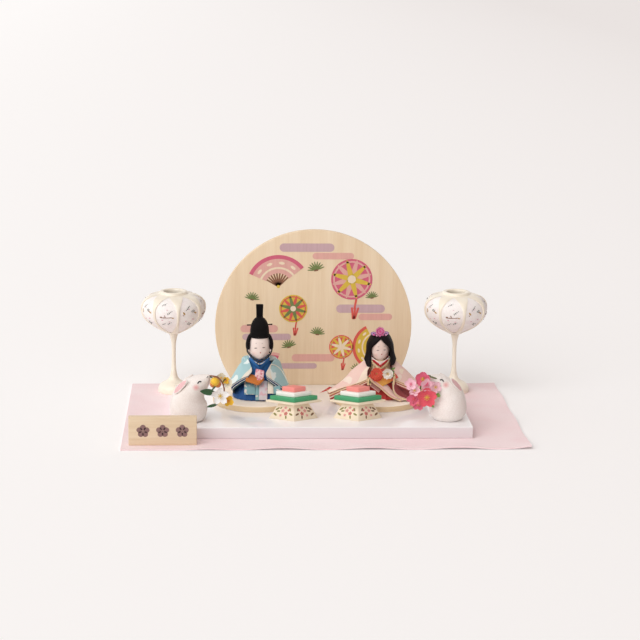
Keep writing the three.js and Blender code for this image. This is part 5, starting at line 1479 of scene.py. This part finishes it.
def washiPaper():
    # handmade mulberry paper: long pale fibres in a faintly tinted sheet
    material, tree, shader = newMaterial("mulberryPaper", 0.85)
    place = onPiece(tree)
    tone = figure(tree, lantern["paper"], place, 11, 0.5, lantern["paperShade"], softness=0.2)
    lengthwise = onPiece(tree, stretch=(1, 1, 0.25))
    tone, fibres = stain(tree, tone, lengthwise, 0.8, [(0.3, "#d8cdca"), (0.6, "#ffffff")], 0.4, 5, 0.7)
    dress(tree, shader, tone, fibres, 0.06)
    return material


def addRibs(bm, line, turn):  # moulded ribs that widen and meet above and below each window
    shape = lantern
    first, last, openShare = shape["window"]
    for k in range(shape["ribs"]):
        middle = math.radians(turn - 90) + fullTurn * k / shape["ribs"]
        rows = []
        for r, z in line:
            t = (z - shape["start"]) / shape["rise"]
            s = min(1, abs((t - (first + last) / 2) / ((last - first) / 2)))
            half = math.pi * r / shape["ribs"] * (1.01 - openShare * (1 - s ** 3.2) ** 0.5)
            outer, inner = [], []
            for j in range(7):
                u = j / 3 - 1
                a = middle + u * half / r
                reach = r - 0.3 + 0.35 * (1 - u * u)
                point = Vector((reach * math.cos(a), reach * math.sin(a), 0))
                outer.append(point + Vector((0, 0, z)))
                inner.insert(0, point * (1 - 1.25 / max(1.3, point.length)) + Vector((0, 0, z)))
            rows.append(outer + inner)
        addLoft(bm, rows)


# pairs of leaf strokes along leaning lines, and a twig, on each paper panel
def printSprigs(bm, line, turn, inks):
    shape = lantern
    for k in range(shape["ribs"]):
        middle = math.radians(turn - 90) + fullTurn * (k + 0.5) / shape["ribs"]
        flip = 1 if k % 2 else -1
        prints = [((x + 1.5 * n) * flip + 0.75 * way, z + lean * n + 0.5 * way, 0.42, 1.0,
                   (20 * way + 30) * flip,
                   "speck") for x, z, count, lean in shape["sprigs"][k % 3] for n in range(count)
                  for way in (-1, 1)]
        if k % 3 == 1:
            prints += [(1.0 * flip, -1.4, 6.2, 0.55, 3 * flip, "twig"),
                       (-1.4 * flip, 0.6, 2.0, 0.45, -58 * flip, "twig"),
                       (7.6 * flip, -1.2, 1.4, 1.0, 20, "gilt"), (-5.6 * flip, -1.0, 1.3, 0.9, 0, "twig")]
        else:
            prints += [(-7.2 * flip, 2.4, 1.7, 0.8, 25 * flip, "gilt"),
                       (-5.4 * flip, 3.3, 0.9, 0.6, 25 * flip, "twig"),
                       (6.8 * flip, 2.8, 1.9, 0.9, 55 * flip, "gilt"),
                       (7.6 * flip, 0.8, 0.9, 0.6, 40 * flip, "twig")]
        prints += [(3.6 * flip, -5.6, 1.3, 0.8, 30, "blush"), (-4.4 * flip, -4.2, 1.2, 0.7, -20, "blush"),
                   (1.2 * flip, 6.6, 1.1, 0.6, 10, "blush")]
        for x, z, wide, high, lean, ink in prints:
            height = shape["printHeight"] + z
            near = min(range(len(line)), key=lambda n: abs(line[n][1] - height))
            r = line[near][0] - shape["paperInset"] + shape["paperFace"]
            slope = math.atan2(line[near + 1][0] - line[near - 1][0], line[near + 1][1] - line[near - 1][1])
            before = set(bm.faces)
            oval(bm, (0, 0), wide, high, lean, inks[ink], 0, 10)
            stand = Matrix.Rotation(middle + math.pi / 2 + x / r, 4,
                                    "Z") @ Matrix.Translation((0, -r, height)) \
                @ Matrix.Rotation(-slope, 4, "X")
            bmesh.ops.transform(bm, matrix=stand, verts=vertsOf([f for f in bm.faces if f not in before]))


def buildLanterns():
    shape = lantern
    cream = satinResin("satinCreamResin", shape["resin"])
    radius = shape["globeRadius"]
    globe = spline([(r * radius, shape["start"] + z * shape["rise"], 0) for r, z in shape["globe"]], 60)
    line = [(p.x, p.y) for p in globe]
    inks = {"speck": 1, "twig": 2, "gilt": 3, "blush": 4}
    for side in ("left", "right"):
        low, high = boxOf(f"{side}_lantern_stand")
        place = Matrix.Translation(footOf(low, high))
        footRadius = (high.x - low.x) / 2
        bm = bmesh.new()
        profile = spline([(r * footRadius, z * shape["footHeight"], 0) for r, z in shape["foot"][1:-1]], 90)
        addTurned(bm, [(0, 0), *[(p.x, p.y) for p in profile], (0, shape["footHeight"])], 72)
        finishPiece(f"lanternStand.{side}", bm, [cream], f"{side}_lantern_stand", [f"{side}_lantern_stand"],
                    place, 50)

        bm = bmesh.new()
        addRibs(bm, line, shape["turns"][side])
        addTurned(bm, shape["socket"], 64)
        addTurned(bm, shape["topRing"], 96)
        finishPiece(f"lanternFrame.{side}", bm, [cream], f"{side}_lantern_globe", [f"{side}_lantern_frame"],
                    place, 50)

        bm = bmesh.new()
        bottom, top = shape["paperHeights"]
        wall = [(r - shape["paperInset"], z) for r, z in line if bottom < z < top]
        addTurned(bm, [*wall, *[(r + shape["paperFace"], z) for r, z in reversed(wall)], wall[0]], 96)
        printSprigs(bm, line, shape["turns"][side], inks)
        materials = [washiPaper(), *[printInk(f"paper{name.capitalize()}Ink", shape[name]) for name in inks]]
        finishPiece(f"lanternShade.{side}", bm, materials, f"{side}_lantern_globe", [f"{side}_lantern_shade"],
                    place, 50)


# Rhombic stands with three cakes

cakes = {
    "x": {"left": -30.3, "right": 34.1}, "y": -56, "depth": 0.52, "foot": 25, "neck": 14.3, "tray": 28.3,
         "trayThickness": 2.3,
    "height": 19.3, "stand": "#ecdcc2", "green": "#3f9b69", "white": "#f1efe8", "pink": "#ee8f86", "edge": 0.55,
    # brown is the olive leaf print darkened for the shaded right face: painted shade
    "inks": {"olive": "#8a8448", "brown": "#7c5a3e", "blossom": "#e3a39c", "deep": "#cf7470"},
}


def addRhombus(bm, levels):  # levels are (z, half width)
    corners = ((1, 0), (0, 1), (-1, 0), (0, -1))
    before = set(bm.faces)
    addLoft(bm, [[(half * x, half * cakes["depth"] * y, z) for x, y in corners] for z, half in levels])
    fresh = [f for f in bm.faces if f not in before]
    edges = list({e for f in fresh for e in f.edges if e.calc_face_angle(0) > 0.35})
    bevelEdges(bm, edges, cakes["edge"], 3)


def drawSpray(bm, way, inks):  # leaves and blossoms printed on one sloping face; way is -1 on the left face
    for x, z, turn, size in ((-7.6, 2.4, 40, 2.5), (-8.6, -3.4, -30, 2.4), (-4.0, 4.4, 78, 2.1),
                             (-5.8, 0.2, 10, 2.0),
                             (5.8, 3.2, -60, 2.2), (8.2, -1.6, -20, 2.3), (3.8, -5.0, -70, 2.0)):
        # leaves on the right face are printed brown instead of olive: painted shade
        oval(bm, (-x * way, z), size, size * 0.4, -turn * way, inks["olive" if way < 0 else "brown"], 0, 14)
    for x, z, size, ink in ((-1.4, 1.0, 2.2, "blossom"), (2.6, -1.4, 2.3, "deep"), (0.8, 4.4, 1.8, "blossom"),
                            (4.6, 2.2, 1.4, "deep"), (-2.4, -3.8, 1.7, "blossom")):
        for k in range(5):
            a = fullTurn * k / 5 + 0.4
            middle = (-(x + math.cos(a) * size * 0.52) * way, z + math.sin(a) * size * 0.52)
            oval(bm, middle, size * 0.42, size * 0.34, -math.degrees(a) * way, inks[ink], 1, 10)
        disc(bm, (-x * way, z), size * 0.16, inks["olive"], 2, 8)


def buildCakes():
    c = cakes
    whitewood = paint("creamPaintedWood", c["stand"], 0.45)
    finishes = {name: paint(f"{name}PaintedWood", c[name], 0.42, 0.1) for name in ("green", "white", "pink")}
    inks = {name: k for k, name in enumerate(c["inks"])}
    for side, x in c["x"].items():
        low, high = boxOf(f"{side}_cake_stand")
        place = Matrix.Translation((x, c["y"], low.z))
        bm = bmesh.new()
        addRhombus(bm, [(0, c["foot"]), (c["height"] - c["trayThickness"] + 0.3, c["neck"])])
        addRhombus(bm, [(c["height"] - c["trayThickness"], c["tray"]), (c["height"], c["tray"])])
        finishPiece(f"cakeStand.{side}", bm, [whitewood], f"{side}_cake_stand", [f"{side}_cake_stand"],
                    place,
                    20)

        bm = bmesh.new()
        for way in (-1, 1):
            before = set(bm.verts)
            drawSpray(bm, way, inks)
            fresh = [v for v in bm.verts if v not in before]
            half = (c["foot"] + c["neck"]) / 2
            across = Vector((way * half, half * c["depth"], 0)).normalized() * (1 if way > 0 else -1)
            base = Vector((way * c["foot"] / 2, -c["foot"] * c["depth"] / 2, 0))
            top = Vector((way * c["neck"] / 2, -c["neck"] * c["depth"] / 2, c["height"] - c["trayThickness"]))
            up = (top - base).normalized()
            inward = up.cross(across).normalized()
            frameTurn = Matrix((across, inward, up)).transposed().to_4x4()
            bmesh.ops.transform(bm, matrix=Matrix.Translation((base + top) / 2 - up * 0.6) @ frameTurn,
                                verts=fresh)
        materials = [printInk(f"spray{name.capitalize()}Ink.{side}", code) for name, code in c["inks"].items()]
        finishPiece(f"cakeStandSprays.{side}", bm, materials, f"{side}_cake_stand",
                    place=place)

        for colour, finish in finishes.items():
            low, high = boxOf(f"{side}_cake_{colour}")
            bm = bmesh.new()
            half = (high.x - low.x) / 2
            addRhombus(bm, [(low.z, half), (high.z, half)])
            finishPiece(f"cake.{side}.{colour}", bm, [finish], f"{side}_cakes", [f"{side}_cake_{colour}"],
                        Matrix.Translation((x, c["y"], 0)), 20)


# Rabbits with posies

rabbit = {
    "radius": 19.3, "height": 47.6, "crepe": "#faf3ee", "ear": "#f4c4c6", "cheek": "#eba3a0", "lash": "#3a2e2c",
    "sections": [(0, 0, 0.62), (0, 0.012, 0.73), (0, 0.1, 0.905), (0, 0.27, 0.975), (0.035, 0.47, 0.9),
                 (0.2, 0.625, 0.745),
                 (0.44, 0.745, 0.6), (0.71, 0.84, 0.45), (0.96, 0.925, 0.26), (1.08, 0.985, 0.1),
                 (1.095, 0.997, 0.02)],
    "places": {"left": (-135.4, -61, -14, 1, 5.0), "right": (124.7, -58.5, -22, -1, 2.6)},
          # x, y, turn, mirror, ear back
    "earRise": {"left": 0.2, "right": 1.2}, "earHalf": (10, 1.9, 3.7), "pinkHalf": (8.6, 2.9),
    "earOut": 11.2, "earHeight": 36.4,
    # seen from the front, in millimetres from the middle of the base: eye, cheek and mouth
    "marks": {"left": ((11.0, 41.6), (7.8, 36.8), (19.2, 46.2)),
              "right": ((-8.3, 42.8), (-4.3, 38.6), (-17.9, 46.0))},
}


def rabbitSections():
    shape = rabbit
    centres = spline([(u * shape["radius"], 0, z * shape["height"]) for u, z, r in shape["sections"]], 61)
    reaches = spline([(r * shape["radius"], 0, 0) for u, z, r in shape["sections"]], 61)
    rings = []
    for i, (centre, reach) in enumerate(zip(centres, reaches)):
        along = (centres[min(i + 1, 60)] - centres[max(i - 1, 0)]).normalized()
        if i < 5:
            along = Vector((0, 0, 1))
        across = Vector((0, 1, 0)).cross(along)
        radius = max(0.2, reach.x)
        brow = 0.045 * math.exp(-((i - 34) / 7) ** 2)
        angles = (fullTurn * k / 72 for k in range(72))
        wide, deep = across * (1 - brow), Vector((0, 1 + brow, 0))
        rings.append([centre + radius * (wide * math.cos(a) + deep * math.sin(a)) for a in angles])
    return rings


def onBody(tree, x, z, proud):  # the point of the body in front at x and z
    hit, normal = tree.ray_cast(Vector((x, -300, z)), Vector((0, 1, 0)))[:2]
    return hit + normal * proud


def buildRabbits():
    shape = rabbit
    for side, (x, y, turn, mirror, earBack) in shape["places"].items():
        floorZ = boxOf(f"{side}_rabbit_body")[0].z
        place = Matrix.Translation((x, y, floorZ)) @ Matrix.Diagonal((mirror, 1, 1, 1)) \
            @ Matrix.Rotation(math.radians(turn), 4, "Z")
        eye, cheek, mouth = shape["marks"][side]
        bm = bmesh.new()
        addLoft(bm, rabbitSections())
        bmesh.ops.transform(bm, matrix=place, verts=bm.verts)
        bmesh.ops.recalc_face_normals(bm, faces=bm.faces)
        body = BVHTree.FromBMesh(bm)
        material, tree, shader = newMaterial(f"whiteCrepe.{side}", 0.85, Sheen_Weight=0.4, Sheen_Roughness=0.5)
        # silk crepe over a stuffed form: tiny pebbled crinkles with painted shade between them, and blush
        # brushed on the cheek
        coords = onPiece(tree)
        tone = stain(tree, shape["crepe"], coords, 12, [(0.35, "#efe6e0"), (0.65, "#ffffff")], 0.25)[0]
        tone = spots(tree, tone, (x, y, floorZ), [(*cheek, 4.2, 3.6, 0, shape["cheek"], 1.0, 1.0)])
        pebbles = addNode(tree, "ShaderNodeTexVoronoi", {"Vector": coords, "Scale": 1 / (0.75 * mm)})
        # painted shade in the hollows between the crinkles
        paintedShadeInDips = addNode(tree, "ShaderNodeValToRGB", {"Fac": pebbles}, [(0.2, "#ffffff"), (0.75, "#d8cec9")])
        tone = addNode(tree, "ShaderNodeMixRGB", {"blend_type": "MULTIPLY", "Fac": 0.3, "Color1": tone,
                                                  "Color2": paintedShadeInDips})
        dress(tree, shader, tone, pebbles, -0.25)
        piece = finishPiece(f"rabbitBody.{side}", bm, [material], f"{side}_rabbit", [f"{side}_rabbit_body"],
                            sharp=60)

        bm = bmesh.new()  # lash and mouth: short embroidered strokes
        ex, ez = eye
        arc = [(ex + mirror * d, ez + 0.6 - 0.34 * d * d + 0.4 * d)
               for d in (-1.8, -1.2, -0.5, 0.1, 0.7, 1.3, 1.8)]
        addTube(bm, spline([onBody(body, x + px, floorZ + pz, 0.15) for px, pz in arc], 24), 0.6, 8, 0)
        mx, mz = mouth
        stroke = [(mx - mirror * 1.0, mz - 0.6), (mx - mirror * 0.3, mz), (mx + mirror * 0.4, mz + 0.3)]
        addTube(bm, spline([onBody(body, x + px, floorZ + pz, 0.1) for px, pz in stroke], 12), 0.3, 8, 0)
        finishPiece(f"rabbitFace.{side}", bm, [cordMaterial()], f"{side}_rabbit")

        for name, way in (("near", -1), ("far", 1)):
            bm = bmesh.new()
            made = bmesh.ops.create_uvsphere(bm, u_segments=40, v_segments=20, radius=1)["verts"]
            length, depth, width = shape["earHalf"]
            for vert in made:  # a folded oval with a hollow along its outer side
                narrowing = 1 - 0.18 * vert.co.x
                vert.co = (length * vert.co.x, depth * vert.co.y, width * vert.co.z * narrowing)
                if way * vert.co.y > 0:
                    vert.co.y *= 0.35 + 0.65 * min(1, (vert.co.z / width) ** 2 + (vert.co.x / length) ** 4)
            pinkLength, pinkWidth = shape["pinkHalf"]
            for face in bm.faces:
                centre = face.calc_center_median()
                inside = (centre.z / pinkWidth) ** 2 + (centre.x / pinkLength) ** 2 < 1
                face.material_index = 1 if way * centre.y > 0 and inside else 0
            rolled = Matrix.Rotation(-math.radians(47), 4, "Y") \
                @ Matrix.Rotation(math.radians(way * 40), 4, "X")
            earZ = shape["earHeight"] + shape["earRise"][side]
            seat = Matrix.Translation((-earBack, way * shape["earOut"], earZ))
            bmesh.ops.transform(bm, matrix=seat @ rolled, verts=bm.verts)
            materials = [crepe(f"earCrepe.{side}.{name}", shape["crepe"]),
                         crepe(f"pinkEarCrepe.{side}.{name}", shape["ear"])]
            ear = finishPiece(f"rabbitEar.{side}.{name}", bm, materials, f"{side}_rabbit",
                              [f"{side}_rabbit_ear_{name}"], place)


posy = {
    "left": {
        "from": (-114.3, -66.2, 60.3),
        "inks": {"stem": "#8a4b2c", "yellow": "#ffce38", "orange": "#ea8a3a", "peach": "#fffbe6",
                 "white": "#ffffff", "leaf": "#2f5a33", "pistil": "#e2bd3c"},
        "stems": [([(0.4, -1, -0.4), (3.4, -6.5, 0.6), (8, -8, -0.2), (12.6, -9.6, -5.4), (14.4, -9.8, -12),
                    (13.2, -11, -16)], "stem"),
                  ([(12.6, -9.6, -5.4), (14.2, -8, -3), (15.6, -7, -2)], "leaf"),
                  ([(11.8, -11.6, -19), (6.6, -10.5, -26.5), (1.2, -10, -29.4)], "leaf"),
                  ([(0.4, -2, -0.6), (5.2, -5.6, -4.6), (5.6, -8.0, -9), (2.4, -10.4, -12.4)], "leaf")],
        "blossoms": [((10.8, -4.0, -1.6), 5.2, 5, "peach", "yellow", 10, 20, 0.5),
                     ((18.0, -4.6, -6.6), 4.8, 5, "peach", "yellow", 40, 0, 0.5),
                     ((15.4, -7.2, -3.4), 4.0, 4, "yellow", "orange", 30, 30, 0.5),
                     ((10.6, -12.6, -17.8), 9.0, 5, "white", "pistil", 18, 0, 0.36),
                     ((18.6, -9.8, -23.6), 5.6, 4, "yellow", "orange", 60, 0, 0.5)],
        "buds": [((5.4, -7.6, -5.0), 5.0, "yellow"), ((4.2, -6.8, -7.2), 4.2, "orange"),
                 ((8.0, -6.8, -7.6), 3.6, "orange")],
        "leaves": [((-9.6, -11.6, -13.0), 16.6, 6.6, -8, "leaf"), ((-2.9, -9.8, -30.0), 11.4, 3.0, 14, "leaf")],
    },
    "right": {
        "from": (104.6, -66.6, 60.3),
        "inks": {"stem": "#6d7a3c", "magenta": "#ee6b8c", "light": "#ffd0de", "coral": "#ee5a6c",
                 "deep": "#e8708c",
                 "leaf": "#8cbc58", "pistil": "#eec04e"},
        "stems": [([(0.4, -1, -0.6), (-3, -4.4, 0.6), (-7, -5.6, -2), (-9.6, -5.4, -12), (-9, -5.6, -22)],
                   "stem"),
                  ([(-8, -5.4, -8), (-2, -6.4, -13), (4.8, -6.6, -17)], "stem"),
                  ([(9.8, -1.2, -4.6), (4.4, -3.6, -2.0), (0, -5.2, -0.4), (-5, -5.6, 0)], "stem")],
        "blossoms": [((-8.0, -5.6, -2.4), 7.6, 5, "magenta", "pistil", 12, 0, 0.5),
                     ((-19.0, -6.2, -7.4), 6.4, 5, "light", "magenta", 30, -20, 0.42),
                     ((-15.4, -7.0, -13.6), 6.0, 5, "light", "pistil", 0, -10, 0.42),
                     ((-3.9, -7.6, -8.0), 6.8, 5, "light", "magenta", 18, 8, 0.42),
                     ((4.6, -6.6, -10.6), 6.4, 5, "light", "pistil", 48, 18, 0.42),
                     ((-3.6, -8.6, -20.4), 10.2, 5, "coral", "pistil", 18, 0, 0.46),
                     ((-15.8, -6.6, -22.6), 7.4, 5, "deep", "coral", 40, -14, 0.42),
                     ((-11.6, -7.6, -27.6), 6.6, 5, "deep", "pistil", 10, 0, 0.42)],
        "buds": [],
        "leaves": [((4.6, -7.0, -17.2), 6.6, 4.6, -28, "leaf"), ((0.6, -6.4, -28.4), 5.2, 2.6, -40, "leaf")],
    },
}


def buildPosies():
    for side, shape in posy.items():
        inks = {name: k for k, name in enumerate(shape["inks"])}
        bm = bmesh.new()
        for points, ink in shape["stems"]:
            addTube(bm, spline(points, 24), 0.75, 8, inks[ink])
        for at, radius, petals, petalInk, heartInk, turn, yaw, wide in shape["blossoms"]:
            lift = 0.2 if radius < 6 else 0.26
            addBlossom(bm, facing(at, -6, yaw), radius, petals, (inks[petalInk], inks[heartInk]), lift, wide,
                       turn, 1, 8, 0.13)
        for at, radius, ink in shape["buds"]:
            for k in range(6):  # petals folded over one another into a ball
                a = fullTurn * k / 6
                spin = facing(at, -10) @ Matrix.Rotation(a, 4, "Z") @ Matrix.Translation((0, 0, radius * 0.55))
                addPetal(bm, spin, radius * 0.98, 0.62, -0.62, -0.25, inks[ink], 0.5)
            addBead(bm, at, radius * 0.82, inks[ink], 0.8)
        for at, length, wide, turn, ink in shape["leaves"]:
            addLeaf(bm, facing(at) @ Matrix.Rotation(math.radians(turn), 4, "Z"), length, wide, -0.06,
                    inks[ink])
        materials = [crepe(f"{name}Crepe.{side}", code, size=0.55) for name, code in shape["inks"].items()]
        finishPiece(f"posy.{side}", bm, materials, f"{side}_rabbit", [f"{side}_rabbit_posy"],
                    Matrix.Translation(shape["from"]), 60)


print("felt, board, screen and daises")
limeWood = wood("planedLimewood", ("#f5e1ca", "#fbeddc", "#fff5e8"), (0.045, 1, 1), 2.6)
# limewood with its grain running round the rim, in darker tones that are painted shade
shadedLimeEdge = wood("turnedLimewoodEdgePaintedShade", ("#d0af84", "#e3c89f", "#ecd6b2"), (0.045, 0.045, 1), 1.6)
plateWood = wood("planedCypress", ("#d6bb97", "#e0c8a8", "#e8d4b8"), (0.03, 1, 1), 1.2)
buildFelt()
buildBoard()
buildScreen(wood("mapleVeneer", ("#e0c5a1", "#e7cfae", "#edd8ba"), grain=2.8, roughness=0.45))
buildPlate(plateWood)
buildDowels(limeWood)
buildDaises(limeWood, shadedLimeEdge)
print("emperor and empress")
floss = hairMaterial()
buildEmperor()
buildEmperorHands()
buildEmperorHead(floss)
buildEmpress()
buildEmpressFan()
buildEmpressHead(floss)
print("lanterns, cakes and rabbits")
buildLanterns()
buildCakes()
buildRabbits()
buildPosies()

for node in ("emperor_neck_peg", "empress_neck_peg"):  # the pegs that the heads sit on keep their shape
    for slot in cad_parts[node].material_slots:
        slot.link, slot.material = "OBJECT", shadedLimeEdge
